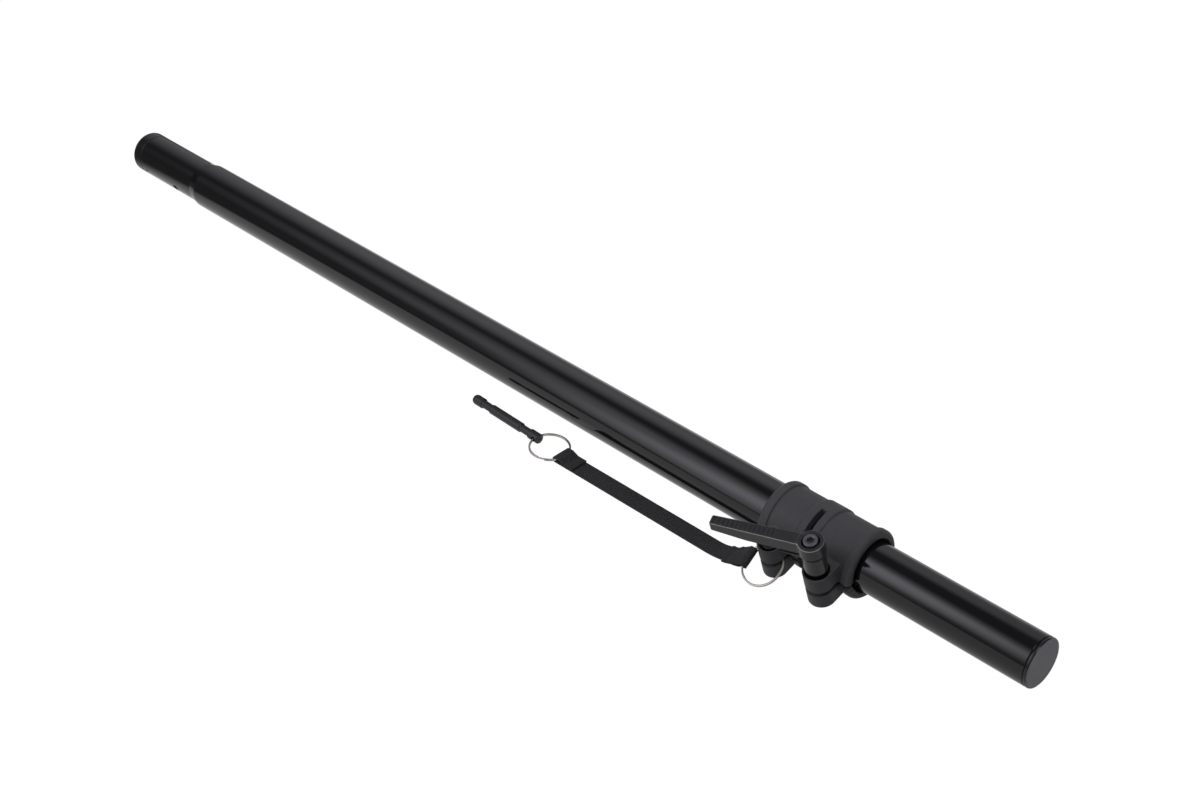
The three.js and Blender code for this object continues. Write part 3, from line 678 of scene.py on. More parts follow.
stub_cap = turned(
    "stub_cap_moulded",
    [
        (0, 0),
        (0, 14.0),
        (0, INNER_RADIUS, STUB_TOUCH),
        (STUB_CAP_SHOULDER, INNER_RADIUS, LIP),
        (STUB_CAP_SHOULDER, STUB_PLUG_RADIUS),
        (STUB_PLUG_END, STUB_PLUG_RADIUS, 1.0),
        (STUB_PLUG_END, STUB_PLUG_BORE),
        (CAP_SEAT, STUB_PLUG_BORE),
        (CAP_SEAT, 0),
    ],
)
cut(stub_cap, [cross_rod(NUB_HOLE, NUB_RADIUS, NUB_REACH)], "UNION")
cut(stub_cap, [rod(CAP_SEAT, STUB_PLUG_END + 1, STUB_PLUG_BORE, axis="X")])
finish_piece(stub_cap, CAP_PLASTIC, "outer", "cap_plastic", "stub_end_cap")

# %% Top end cap
TOP = 940
GROOVE_RADIUS = 17.05
TOP_PLUG_END = 914.7
TOP_PLUG_BORE = 13.2
FACE_FROM = 939.45

top_cap = turned(
    "top_cap_moulded",
    [
        (TOP, 0),
        (TOP, 16.3, 0.2),
        (939.5, 17.15, 0.5),
        (938.7, INNER_RADIUS, 0.8),
        (937.9, INNER_RADIUS, 0.2),
        (937.85, GROOVE_RADIUS),
        (937.0, GROOVE_RADIUS),
        (937.0, 15.7),
        (TOP_PLUG_END, 15.7, 1.0),
        (TOP_PLUG_END, TOP_PLUG_BORE),
        (INNER_END, TOP_PLUG_BORE),
        (INNER_END, 0),
    ],
)
finish_piece(top_cap, CAP_PLASTIC, "inner", "cap_plastic", "top_end_cap")
top_cap.data.materials.append(CAP_FACE)
for face in top_cap.data.polygons:
    if face.center.x > FACE_FROM * MM:
        face.material_index = 1

# %% [markdown]
# ## Moulded shapes from a distance rule
# The collar and the lever handle are mouldings: cylinders, ears and wedges that flow into one
# another with small radii. A rule that gives the distance of any point to the surface describes
# such a shape well, because a smooth minimum of two distances is a fillet. The rule is read on a
# fine grid, and each cell that the surface crosses gets one point, which then moves onto the
# surface exactly.


# %% A mesh from a distance rule
def smooth_min(a, b, fillet):
    h = np.clip(0.5 + 0.5 * (b - a) / fillet, 0, 1)
    return b * (1 - h) + a * h - fillet * h * (1 - h)


def smooth_max(a, b, fillet):
    return -smooth_min(-a, -b, fillet)


def slope_of(rule, points, reach=0.02):
    """Gradient of the rule at points."""
    result = np.empty_like(points)
    for axis in range(3):
        step = np.zeros(3)
        step[axis] = reach
        result[:, axis] = (rule(*(points + step).T) - rule(*(points - step).T)) / (2 * reach)
    return result


def surface_of(rule, low, high, cell):
    """Points and quads of the surface where the rule is zero."""
    axes = [np.arange(a, b + cell, cell) for a, b in zip(low, high)]
    value = rule(*np.meshgrid(*axes, indexing="ij")).astype(np.float32)
    cells_shape = tuple(n - 1 for n in value.shape)
    total = np.zeros(cells_shape + (3,), np.float32)
    hits = np.zeros(cells_shape, np.int32)
    crossings = []
    for axis in range(3):
        others = [o for o in range(3) if o != axis]
        first = np.take(value, range(value.shape[axis] - 1), axis)
        second = np.take(value, range(1, value.shape[axis]), axis)
        where = np.argwhere((first < 0) != (second < 0))
        inside = [(where[:, o] > 0) & (where[:, o] < value.shape[o] - 1) for o in others]
        where = where[np.all(inside, axis=0)]
        a = first[tuple(where.T)]
        b = second[tuple(where.T)]
        point = where.astype(np.float32)
        point[:, axis] += a / (a - b)
        cells = []
        for da, db in ((0, 0), (1, 0), (1, 1), (0, 1)):
            at = where.copy()
            at[:, others[0]] -= da
            at[:, others[1]] -= db
            np.add.at(total, tuple(at.T), point)
            np.add.at(hits, tuple(at.T), 1)
            cells.append(at)
        crossings.append((axis, a < 0, cells))
    used = hits > 0
    number = np.full(used.shape, -1, np.int64)
    number[used] = np.arange(used.sum())
    points = total[used] / hits[used][:, None] * cell + np.array([a[0] for a in axes])
    quads = []
    for axis, below, cells in crossings:
        quad = np.stack([number[tuple(at.T)] for at in cells], axis=1)
        flip = below if axis != 1 else ~below
        quad[flip] = quad[flip][:, ::-1]
        quads.append(quad)
    points = points.astype(np.float64)
    for _ in range(3):
        grad = slope_of(rule, points)
        push = rule(*points.T) / np.maximum((grad**2).sum(axis=1), 0.2)
        points -= np.clip(push, -cell, cell)[:, None] * grad
    return points, np.concatenate(quads)


def moulded(name, rule, low, high, cell, matrix, painted_highlight=None):
    """A smooth piece from a distance rule, placed by a matrix. The last rule marks edges for a
    painted highlight.
    """
    points, quads = surface_of(rule, low, high, cell)
    grad = slope_of(rule, points)
    grad /= np.maximum(np.linalg.norm(grad, axis=1, keepdims=True), 1e-9)
    place = np.array(matrix)
    world = (points @ place[:3, :3].T + place[:3, 3]) * MM
    normals = grad @ place[:3, :3].T
    corners = world[quads]
    facing = np.cross(corners[:, 1] - corners[:, 0], corners[:, 2] - corners[:, 0])
    if (np.einsum("ij,ij->i", facing, normals[quads[:, 0]]) < 0).mean() > 0.5:
        quads = quads[:, ::-1]
    mesh = bpy.data.meshes.new(name)
    mesh.from_pydata(world.tolist(), [], quads.tolist())
    mesh.shade_smooth()
    mesh.normals_split_custom_set_from_vertices(normals.tolist())
    # Marks for a painted highlight, stored on the mesh for the material to read.
    if painted_highlight:
        mark = mesh.attributes.new("painted_edge_highlight", "FLOAT", "POINT")
        mark.data.foreach_set("value", painted_highlight(*points.T, *grad.T).astype(np.float32))
    return put_in_scene(name, mesh)


# %% Distance rules for simple forms
def drum(along, radius, start, end, reach, edge=0.0):
    """A cylinder between start and end with rounded edges."""
    dx = np.abs(along - (start + end) / 2) - (end - start) / 2 + edge
    dr = radius - reach + edge
    outside = np.hypot(np.maximum(dx, 0), np.maximum(dr, 0))
    return outside + np.minimum(np.maximum(dx, dr), 0) - edge


def slab(value, low, high):
    return np.maximum(low - value, value - high)


def rounded_cross(first, second, edge):
    """Where two distances meet, with a rounded edge."""
    a, b = first + edge, second + edge
    return np.minimum(np.maximum(a, b), 0) + np.hypot(np.maximum(a, 0), np.maximum(b, 0)) - edge


# %% [markdown]
# ## Clamp collar
# The collar grips the outer tube at one end and the inner tube at the other. It has a flange at
# each end and a raised band in the middle, a split along its ears, and a slot round its middle,
# so that each pair of ears clamps by itself. Each upper ear has a counterbore for a screw, and
# each lower ear a hexagonal pocket for a nut.

# %% The collar's rule
COLLAR_RADIUS = 23.5
BAND_RADIUS = 24.6
BAND_HALF = 8.1
BAND_SHIFT = -1.05
SPLIT_HALF = 1.7
SLOT_HALF = 2.1
SLOT_SPREAD = math.radians(103)
SLOT_FLOOR = 17.0
EAR_TOP = 15.0
EAR_BOTTOM = -13.2
SCREW_SEAT = 5.5
MOUTH_RADIUS = 17.8
MOUTH_DEPTH = 6.5
MOUTH_SLOPE = 0.28
TUBE_SEAT_RADIUS = 19.25
TUBE_SEAT_DEPTH = 34.3
EARS = (
    # side, outline radius, counterbore radius, screw hole radius, nut pocket width and depth
    (-1, 8.6, 7.5, 3.3, 10.6, 5.6),
    (1, 9.8, 8.4, 4.3, 13.6, 7.1),
)


def hexagon(x, y, across):
    flats = [np.abs(x * 0.5 + y * s * math.sqrt(0.75)) for s in (1, -1)]
    return np.maximum(np.maximum(*flats), np.abs(x)) - across / 2


def ear_outline(s, a):
    """Distance to the outline of the ears, each a slot shape round its screw."""
    da = a - np.clip(a, 0, SCREW_OFFSET)
    return np.minimum(
        *(np.hypot(s - side * SCREW_SPACING / 2, da) - radius for side, radius, *_ in EARS)
    )


def end_flange(out, radius, width, edge, root_edge):
    """A flange whose rim is rounded at its open end. Out is the distance inwards from that end."""
    rim = rounded_cross(radius - FLANGE_RADIUS, -out, edge)
    return rounded_cross(rim, out - width, root_edge)


def collar_rule(s, y, b):
    a = -y
    radius = np.hypot(a, b)
    half = COLLAR_LENGTH / 2
    band = s - BAND_SHIFT
    shape = drum(s, radius, -half, half, COLLAR_RADIUS, edge=1.2)
    first_flange = end_flange(s + half, radius, width=7.6, edge=3.0, root_edge=1.0)
    shape = smooth_min(shape, first_flange, fillet=0.6)
    raised = drum(band, radius, -BAND_HALF, BAND_HALF, BAND_RADIUS, edge=1.1)
    shape = smooth_min(shape, raised, fillet=0.7)
    last_flange = end_flange(half - s, radius, width=6.9, edge=3.2, root_edge=0.8)
    shape = smooth_min(shape, last_flange, fillet=0.25)
    outline = ear_outline(s, a)
    upper = rounded_cross(outline, slab(b, SPLIT_HALF, EAR_TOP), edge=0.25)
    lower = rounded_cross(outline, slab(b, EAR_BOTTOM, -SPLIT_HALF), edge=0.5)
    shape = smooth_min(shape, np.minimum(upper, lower), fillet=0.3)
    # The split's edges are rounded more strongly where it opens through a flange.
    split = np.maximum(np.abs(b) - SPLIT_HALF, -a)
    at_flange = np.clip((np.abs(s) - half + 9.0) / 2.5, 0, 1)
    opening = 2.2 * at_flange * at_flange * (3 - 2 * at_flange)
    shape = smooth_max(shape, -split, fillet=0.7 + opening)
    spread = np.abs(np.arctan2(b, a))
    slot = np.maximum(np.abs(band) - SLOT_HALF, (spread - SLOT_SPREAD) * np.maximum(radius, 1))
    shape = smooth_max(shape, -np.maximum(slot, SLOT_FLOOR - radius), fillet=0.5)
    flare = np.maximum(s - (half - MOUTH_DEPTH), 0) * MOUTH_SLOPE
    shape = smooth_max(shape, -(radius - MOUTH_RADIUS - flare) * 0.95, fillet=0.8)
    seat = drum(s, radius, -half - 5, -half + TUBE_SEAT_DEPTH, TUBE_SEAT_RADIUS)
    shape = np.maximum(shape, -seat)
    for side, _, counterbore, hole, across, depth in EARS:
        ds = s - side * SCREW_SPACING / 2
        da = a - SCREW_OFFSET
        ring = np.hypot(ds, da)
        shape = smooth_max(shape, -np.maximum(ring - counterbore, SCREW_SEAT - b), fillet=0.6)
        shape = np.maximum(shape, -(ring - hole))
        pocket = np.maximum(hexagon(da, ds, across), b - EAR_BOTTOM - depth)
        shape = smooth_max(shape, -pocket, fillet=0.4)
    return shape


# %% Collar
COLLAR_CELL = 0.61
collar = moulded(
    "clamp_collar_moulded", collar_rule, (-41, -42.5, -26), (41, 26, 26), COLLAR_CELL, CLAMP_FRAME
)
finish_piece(collar, NYLON, "outer", "clamp_nylon", "clamp_collar")

# %% [markdown]
# ## Lever handle
# The handle is an upright hub with a long arm that narrows towards its tip. A fine groove runs
# round the hub, and the arm's top is a shallow panel. On the real arm that panel holds raised
# marks. Here plain grip bars take their place. The hub is open at the top for the cap screw and
# the spring. In the rules, t runs along the arm, w across it, and b up.

# %% The handle's rule
ARM_LENGTH = 68.8
ARM_BOTTOM = 30.2
ARM_CLIMB = 7.8
HANDLE_TOP = 44.8
HUB_RADIUS = 7.8
HUB_BOTTOM = 17.5
HEAD_RADIUS = 9.1
GROOVE_LEVEL = 35.3
GROOVE_HEIGHT = 2.3
GROOVE_FLOOR = 6.7
HEAD_TAPER = 0.03
PANEL = (24.0, 66.6)
PANEL_MARGIN = 1.0
PANEL_DEPTH = 0.45
FIRST_BAR = 26.6
BAR_PITCH = 3.1
BAR_STEPS = 12
BAR_HALF = 0.75
BAR_MARGIN = 1.75
# The hub's bores: radius, lowest and highest level
BORES = ((3.3, 10, 60), (6.1, 10, 29.8), (6.8, 10, 19.1))


def arm_half_width(t):
    return 4.8 + (3.65 - 4.8) * np.clip(t / ARM_LENGTH, 0, 1)


def handle_rule(t, w, b):
    ring = np.hypot(t, w)
    taper = HEAD_TAPER * (b - GROOVE_LEVEL)
    head = drum(b, ring + taper, GROOVE_LEVEL, HANDLE_TOP, HEAD_RADIUS, edge=0.55)
    hub = np.minimum(head, drum(b, ring, HUB_BOTTOM, 36.0, HUB_RADIUS, edge=1.1))
    half = arm_half_width(t)
    bottom = ARM_BOTTOM + ARM_CLIMB * np.clip(t / ARM_LENGTH, -0.1, 1.1)
    plan = rounded_cross((np.abs(w) - half) * 0.999, slab(t, 0, ARM_LENGTH), edge=1.2)
    height = np.maximum(b - HANDLE_TOP, (bottom - b) * 0.993)
    shape = smooth_min(hub, rounded_cross(plan, height, edge=0.5), fillet=0.8)
    groove = np.maximum(GROOVE_FLOOR - ring, slab(b, GROOVE_LEVEL - GROOVE_HEIGHT, GROOVE_LEVEL))
    shape = smooth_max(shape, -np.maximum(groove, t - 60), fillet=0.3)
    panel = np.maximum(np.abs(w) - half + PANEL_MARGIN, slab(t, *PANEL))
    shape = smooth_max(shape, -np.maximum(panel, HANDLE_TOP - PANEL_DEPTH - b), fillet=0.35)
    nearest = np.clip(np.round((t - FIRST_BAR) / BAR_PITCH), 0, BAR_STEPS) * BAR_PITCH + FIRST_BAR
    bar = np.maximum(np.abs(t - nearest) - BAR_HALF, np.abs(w) - half + BAR_MARGIN)
    bar = rounded_cross(bar, slab(b, HANDLE_TOP - 1.2, HANDLE_TOP - 0.02), edge=0.25)
    shape = smooth_min(shape, bar, fillet=0.25)
    shape = smooth_max(shape, -drum(b, ring, 31.3, 60, 6.0), fillet=0.4)
    for radius, low, high in BORES:
        shape = np.maximum(shape, -drum(b, ring, low, high, radius))
    return shape


def handle_painted_highlight(t, w, b, slope_t, slope_w, slope_b):
    """A painted highlight on the top edge, where its rounding turns from the top to the side,
    strongest at the front.
    """
    along_arm = np.maximum(np.abs(w) - arm_half_width(t) + 0.75, t - ARM_LENGTH + 0.8)
    outer = np.where(t < 8.6, np.hypot(t, w) - 8.1, along_arm)
    level = np.clip((slope_b - 0.2) / 0.25, 0, 1) * np.clip((0.985 - slope_b) / 0.1, 0, 1)
    front = np.clip(0.5 + 0.7 * slope_w, 0.06, 1)
    return level * front * (outer > 0) * (b > HANDLE_TOP - 0.9)


# %% Handle
HANDLE_CELL = 0.3
handle = moulded(
    "lever_handle_moulded",
    handle_rule,
    (-10.5, -10.5, 16.5),
    (70.5, 10.5, 46.2),
    HANDLE_CELL,
    LEVER_AXIS @ turn(ARM_TURN, "Z"),
    # The handle's top edge gets a painted highlight.
    handle_painted_highlight,
)
finish_piece(handle, LEVER_NYLON, "handle", "clamp_nylon", "lever_handle")

# %% [markdown]
# ## Screws
# A socket-head cap screw closes the lever's hub, and a second one sits deep in the fixed ear's
# counterbore. Each is a turned head and shank with a hexagonal socket cut into it.


# %% Cap screws
def hexagon_rod(across, low, high, matrix):
    """A six-sided rod, used to cut a socket."""
    radius = across / math.sqrt(3)
    angles = [math.pi * k / 3 for k in range(6)]
    verts = [(radius * math.cos(a), radius * math.sin(a), z) for z in (low, high) for a in angles]
    return make_piece("cutter", verts, swept_faces(2, 6), matrix)


def cap_screw(name, top, head, length, socket, depth, matrix, height=6.0, shank=3.0):
    under = top - height
    screw = turned(
        name,
        [
            (under - length, 0),
            (under - length, shank, 0.6),
            (under, shank),
            (under, head, 0.2),
            (top, head, 0.55),
            (top, socket * 0.66, 0.2),
            (top - 0.35, socket * 0.58),
            (top - 0.35, 0),
        ],
        64,
        matrix,
        "Z",
    )
    cut(screw, [hexagon_rod(socket, top - depth, top + 1, matrix)])
    return screw


lever_screw = cap_screw(
    "lever_cap_screw_grey",
    HANDLE_TOP + 1.3, head=4.9, length=24.0, socket=4.8, depth=3.6, matrix=LEVER_AXIS,
)
finish_piece(lever_screw, GREY_STEEL, "spindle", "black_steel", "lever_cap_screw")

fixed_screw = cap_screw(
    "clamp_screw_black", 13.7, head=5.0, length=20.6, socket=5.0, depth=3.0, matrix=FIXED_SCREW
)
finish_piece(fixed_screw, BLACK_STEEL, "outer", "black_steel", "clamp_screw")

# %% [markdown]
# ## Lever spring
# A small coil spring sits round the cap screw, inside the hub, and pushes the handle down onto
# its splines. When the handle is lifted, the spring is pressed together under the screw's head.
# So in the real pole its lower end follows the handle and its upper end follows the spindle, and
# the coil between them shortens. Here the coil is made once, at its resting length.


# %% Lever spring
def coil(name, radius, wire, turns, low, high, matrix, steps=24, sides=10):
    """A helical wire from low to high, with closed ends."""
    count = round(turns * steps)
    verts = []
    for i in range(count + 1):
        angle = 2 * math.pi * i / steps
        level = low + (high - low) * i / count
        for k in range(sides):
            around = 2 * math.pi * k / sides
            out = radius + wire / 2 * math.cos(around)
            up = level + wire / 2 * math.sin(around)
            verts.append((out * math.cos(angle), out * math.sin(angle), up))
    return make_piece(name, verts, swept_faces(count + 1, sides), matrix, sharp=60)


SPRING_RADIUS = 4.25
SPRING_WIRE = 0.8
SPRING_TURNS = 3.5
SPRING_LOW = 31.9
SPRING_HIGH = 39.4
spring = coil(
    "lever_spring_coil",
    SPRING_RADIUS, SPRING_WIRE, SPRING_TURNS, SPRING_LOW, SPRING_HIGH, LEVER_AXIS,
)
spring.data.materials.append(ZINC_STEEL)
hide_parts("lever_spring")
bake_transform(spring)
print("the spring is", round(SPRING_HIGH - SPRING_LOW + SPRING_WIRE, 1), "mm long at rest")

# %% [markdown]
# ## Split rings
# Both rings are split rings, as on a bunch of keys: one flat wire wound twice round, with its
# ends on opposite sides, where it steps from one turn to the other. A short Geometry Nodes tree
# sweeps the wire's section along that two-turn path, and its named inputs are the ring's radius,
# the wire's width and its thickness.

# %% The split ring tree
RING_RADIUS = 14.6
END_GAP = 0.35
STEP_OVER = (0.45, 0.53)
TURN_SPACING = 1.04
GEOMETRY_OUT = {"Geometry": "NodeSocketGeometry"}


def finish_tree(tree, geometry, given, out):
    """End a geometry tree: make its instances real and give them the material."""
    real = first_of(tree, "GeometryNodeRealizeInstances", {0: geometry})
    inputs = {"Geometry": real, "Material": given["Material"]}
    feed(tree, out["Geometry"], first_of(tree, "GeometryNodeSetMaterial", inputs))
    return tree


def ring_tree():
    tree, given, out = new_group(
        "GeometryNodeTree",
        "Split ring",
        {
            "Ring radius": RING_RADIUS * MM,
            "Wire width": 0.00135,
            "Wire thickness": 0.0008,
            "Steps": 220,
            "Material": None,
        },
        GEOMETRY_OUT,
    )
    radius, thickness = given["Ring radius"], given["Wire thickness"]
    index = tree.nodes.new("GeometryNodeInputIndex").outputs[0]
    share = calc(tree, "DIVIDE", index, calc(tree, "SUBTRACT", given["Steps"], 1))
    angle = calc(tree, "MULTIPLY", share, 4 * math.pi - END_GAP)
    level = calc(tree, "MULTIPLY", map_range(tree, share, *STEP_OVER, -0.5, 0.5), thickness)
    place = {
        "X": calc(tree, "MULTIPLY", calc(tree, "COSINE", angle), radius),
        "Y": calc(tree, "MULTIPLY", calc(tree, "SINE", angle), radius),
        "Z": calc(tree, "MULTIPLY", level, TURN_SPACING),
    }
    place = first_of(tree, "ShaderNodeCombineXYZ", place)
    line = first_of(tree, "GeometryNodeMeshLine", {"Count": given["Steps"]}, mode="OFFSET")
    path = first_of(tree, "GeometryNodeSetPosition", {"Geometry": line, "Position": place})
    curve = first_of(tree, "GeometryNodeMeshToCurve", {"Mesh": path})
    curve = first_of(tree, "GeometryNodeSetCurveNormal", {"Curve": curve}, mode="Z_UP")
    size = {"Width": given["Wire width"], "Height": thickness}
    section = first_of(tree, "GeometryNodeCurvePrimitiveQuadrilateral", size)
    corner = {"Curve": section, "Count": 3, "Radius": calc(tree, "MULTIPLY", thickness, 0.4)}
    section = first_of(tree, "GeometryNodeFilletCurve", corner, mode="POLY")
    sweep = {"Curve": curve, "Profile Curve": section, "Fill Caps": True}
    wire = first_of(tree, "GeometryNodeCurveToMesh", sweep)
    return finish_tree(tree, wire, given, out)


RING_TREE = ring_tree()
tell("tree", RING_TREE)


# %% Helpers for node-made pieces
def grown(name, tree, values):
    """Run a Geometry Nodes tree and return its result as a plain mesh piece."""
    holder = put_in_scene(name + "_holder", bpy.data.meshes.new(name + "_source"))
    modifier = holder.modifiers.new("nodes", "NODES")
    modifier.node_group = tree
    for item in tree.interface.items_tree:
        if item.name in values:
            modifier[item.identifier] = values[item.name]
    holder.update_tag()
    bpy.context.view_layer.update()
    mesh = plain_mesh(holder)
    bpy.data.objects.remove(holder)
    mesh.name = name
    return put_in_scene(name, mesh)


def in_metres(matrix):
    """The same placement with its shift in metres."""
    result = matrix.copy()
    result.translation = matrix.translation * MM
    return result


# %% [markdown]
# ## Where the tether lies
# The tether ring passes through the collar's split, behind the fixed screw, and leans down to the
# table. The strap's near fold holds it at its far point. From there the strap runs down onto the
# table and along it to the pin ring, which holds the pin. These values repeat the CAD model's.

# %% The tether's frames
RING_WIRE = 1.5
STRAP_WIDTH = 15.0
STRAP_THICKNESS = 1.2
STRAP_RUN = 171.0
STRAP_FLAP = 17.0
STRAP_RISE = 28.0
STRAP_YAW = 1
FLAP_TAPER = 9.0
EYE = RING_WIRE / 2 + 0.5 + STRAP_THICKNESS / 2
LAYER = STRAP_THICKNESS + 0.3
BOW = RING_RADIUS - math.sqrt(RING_RADIUS**2 - (STRAP_WIDTH / 2) ** 2)
RING_PASS = (-SCREW_SPACING / 2, -24.5, 0.5)
RING_LEAN = 17.5
RING_TILT = -5
RING_SIDEWAYS = 3
PIN_RADIUS = 3.8
PIN_YAW = -2.1
PIN_ROUND_RING = math.radians(4)

ring_pivot = CLAMP_FRAME @ shift(*RING_PASS) @ turn(RING_LEAN, "X") @ turn(RING_TILT, "Y")
TETHER_RING = ring_pivot @ shift(-RING_SIDEWAYS, -math.sqrt(RING_RADIUS**2 - RING_SIDEWAYS**2))
fold = TETHER_RING @ Vector((-RING_RADIUS, 0, 0))
wire = (TETHER_RING.to_3x3() @ Vector((0, 1, 0))).normalized()
STRAP_TWIST = math.atan2(wire.z, wire.y)
STRAP_CLIMB = (
    fold.z - table_under(fold.x) + EYE * math.cos(STRAP_TWIST) - STRAP_THICKNESS / 2
)
TETHER = (
    shift(fold.x, fold.y - EYE * math.sin(STRAP_TWIST), table_under(fold.x))
    @ turn(STRAP_YAW, "Z")
    @ Matrix.Rotation(TABLE_SLOPE, 4, "Y")
)
far_wire = STRAP_THICKNESS / 2 + EYE
ring_centre = -STRAP_RUN + BOW - RING_RADIUS
PIN_RING = (
    TETHER
    @ shift(ring_centre, 0, (far_wire + PIN_RADIUS) / 2)
    @ Matrix.Rotation(math.atan2(PIN_RADIUS - far_wire, 2 * RING_RADIUS), 4, "Y")
)
PIN = (
    TETHER
    @ shift(
        ring_centre - RING_RADIUS * math.cos(PIN_ROUND_RING),
        RING_RADIUS * math.sin(PIN_ROUND_RING),
        PIN_RADIUS,
    )
    @ turn(PIN_YAW, "Z")
)
for label, place in (("the strap's fold", fold), ("the pin", PIN.translation)):
    print(label, "is at", [round(v, 1) for v in place])

# %% Both rings
for name, matrix, body, node, opening in (
    ("tether_ring_split", TETHER_RING, "ring", "tether_ring", 235),
    ("pin_ring_split", PIN_RING, "pin_ring", "pin_ring", 300),
):
    ring = grown(name, RING_TREE, {"Material": NICKEL})
    print(name, "measures", [round(v / MM, 2) for v in ring.dimensions], "mm before it is placed")
    ring.data.transform(in_metres(matrix @ turn(opening, "Z")))
    dress_mesh(ring.data, sharp=40, weld=1e-7)
    finish_piece(ring, NICKEL, body, "ring_nickel", node)

# %% [markdown]
# ## Locking pin
# The pin is a turned rod with two slim necks and a rounded head, and a cross hole near its end
# that the pin ring passes through. It has a black oxide finish.

# %% Pin
TAIL = 3.6
HEAD = TAIL - 71.2
NECK_RADIUS = 2.95
BODY_RADIUS = 3.6
SHOULDER = 0.35
ROOT = 0.2
CROSS_HOLE_RADIUS = 1.9
CROSS_HOLE_REACH = 6

pin = turned(
    "locking_pin_turned",
    [
        (HEAD, 0),
        (HEAD, PIN_RADIUS, 3.3),
        (HEAD + 10.3, PIN_RADIUS, SHOULDER),
        (HEAD + 11.0, NECK_RADIUS, ROOT),
        (HEAD + 19.4, NECK_RADIUS, ROOT),
        (HEAD + 20.1, BODY_RADIUS, SHOULDER),
        (TAIL - 19.75, BODY_RADIUS, SHOULDER),
        (TAIL - 19.05, NECK_RADIUS, ROOT),
        (TAIL - 10.3, NECK_RADIUS, ROOT),
        (TAIL - 9.6, PIN_RADIUS, SHOULDER),
        (TAIL, PIN_RADIUS, 1.0),
        (TAIL, 1.1, 0.1),
        (TAIL - 1.6, 0),
    ],
    64,
    PIN,
    steps=8,
)
across_pin = PIN @ turn(90, "X")
cut(pin, [rod(-CROSS_HOLE_REACH, CROSS_HOLE_REACH, CROSS_HOLE_RADIUS, 32, across_pin)])
finish_piece(pin, PIN_STEEL, "pin", "black_steel", "locking_pin")

# %% [markdown]
# ## Webbing
# The strap is narrow woven webbing. Its weft shows as fine ribs across the strap, 1.3 mm
# apart. The pattern follows the strap's own UV map, whose unit is the millimetre, so
# the ribs turn with the strap where it folds and twists.

# %% Webbing material
RIB_PITCH = 1.3
YARN_PITCH = 0.8
FUZZ_SCALE = 2500.0


def webbing():
    material, tree = new_material("black_ribbed_webbing")
    uv = add_node(tree, "ShaderNodeUVMap", uv_map="along").outputs["UV"]
    along, across, _ = separate(tree, uv)

    def wave(where, frequency):
        return calc(tree, "SINE", calc(tree, "MULTIPLY", where, frequency))

    ribs = wave(along, 2 * math.pi / RIB_PITCH)
    yarns = wave(across, 2 * math.pi / YARN_PITCH)
    weave = calc(tree, "MULTIPLY", yarns, wave(along, math.pi / RIB_PITCH))
    height = calc(
        tree, "ADD", calc(tree, "MULTIPLY", ribs, 0.6), calc(tree, "MULTIPLY", weave, 0.35)
    )
    shade = calc(tree, "MULTIPLY", calc(tree, "MULTIPLY_ADD", ribs, 0.3, 0.5), 0.75)
    fuzz = calc(tree, "MULTIPLY", noise(tree, FUZZ_SCALE, 3.0), 0.25)
    mixed = calc(tree, "ADD", shade, fuzz)
    feed_shader(
        tree,
        {
            "Base Color": mix(tree, mixed, tone(0.006, 0.006, 0.0062), tone(0.042, 0.0415, 0.043)),
            "Normal": bump(tree, height, 0.00012),
            "Roughness": 0.85,
            "Sheen Weight": 0.08,
            "Sheen Roughness": 0.5,
        },
    )
    return material


WEBBING = webbing()
tell("material", WEBBING)

# %% [markdown]
# ## Tether strap
# The strap is one strip of webbing, folded back on itself round each ring and sewn down. A strip
# swept along the folded path gives it, and the path is drawn in the strap's own upright plane.
# Towards the clamp the strip climbs off the table and twists, until its width follows the wire of
# the tether ring. The sewn end near the clamp puckers a little between its rows of stitches.

# %% The strap's path
EYE_STEPS = 16
NEAR_ROWS = (-15.5, -11.8, -8.0)


def eye_arc(centre_x, centre_height, way):
    """Half a turn round a ring's wire. Way is 1 for the far eye and -1 for the near one."""
    angles = [math.pi / 2 + way * math.pi * k / EYE_STEPS for k in range(EYE_STEPS + 1)]
    return [(centre_x + EYE * math.cos(a), centre_height + EYE * math.sin(a)) for a in angles]


def strap_path(step=0.75):
    """Points (x, height) of the strip's middle layer, from one cut end to the other."""
    corners = [
        (-STRAP_RUN + STRAP_FLAP, LAYER),
        (-STRAP_RUN + FLAP_TAPER, LAYER),
        (-STRAP_RUN + BOW + EYE, 2 * EYE),
        *eye_arc(-STRAP_RUN, EYE, 1),
        (-STRAP_RUN + FLAP_TAPER, 0),
        (BOW - FLAP_TAPER, 0),
        *eye_arc(BOW, -EYE, -1),
        (-EYE, -2 * EYE),
        (BOW - FLAP_TAPER, -LAYER),
        (BOW - STRAP_FLAP, -LAYER),
    ]
    points = [np.array(corners[0], float)]
    for a, b in zip(corners, corners[1:]):
        a, b = np.array(a, float), np.array(b, float)
        count = max(1, math.ceil(np.linalg.norm(b - a) / step))
        points += [a + (b - a) * (k + 1) / count for k in range(count)]
    return np.array(points)


def strap_bend(x):
    """Rise and twist of the strap at x. It stays low until close to the ring."""
    share = min(max(1 + x / STRAP_RISE, 0), 1)
    return STRAP_THICKNESS / 2 + share**1.9 * STRAP_CLIMB, share**2.2 * STRAP_TWIST


def hill(x, place, width):
    return math.exp(-(((x - place) / width) ** 2))


def pucker(x, across):
    """Small gathers that the stitching pulls into the sewn end near the clamp."""
    near_edge = min(max(across / (STRAP_WIDTH / 2), 0), 1)
    rows = hill(x, NEAR_ROWS[0], 1.6) + 0.8 * hill(x, NEAR_ROWS[2], 1.5)
    return 0.9 * rows * near_edge - 0.3 * hill(x, -12.0, 2.2)


def on_strap(x, across, height):
    """Place a point of the flat strap on the table, climbing and twisted as it lies."""
    rise, twist = strap_bend(x)
    height += pucker(x, across)
    c, s = math.cos(twist), math.sin(twist)
    return Vector((x, across * c - height * s, rise + across * s + height * c))


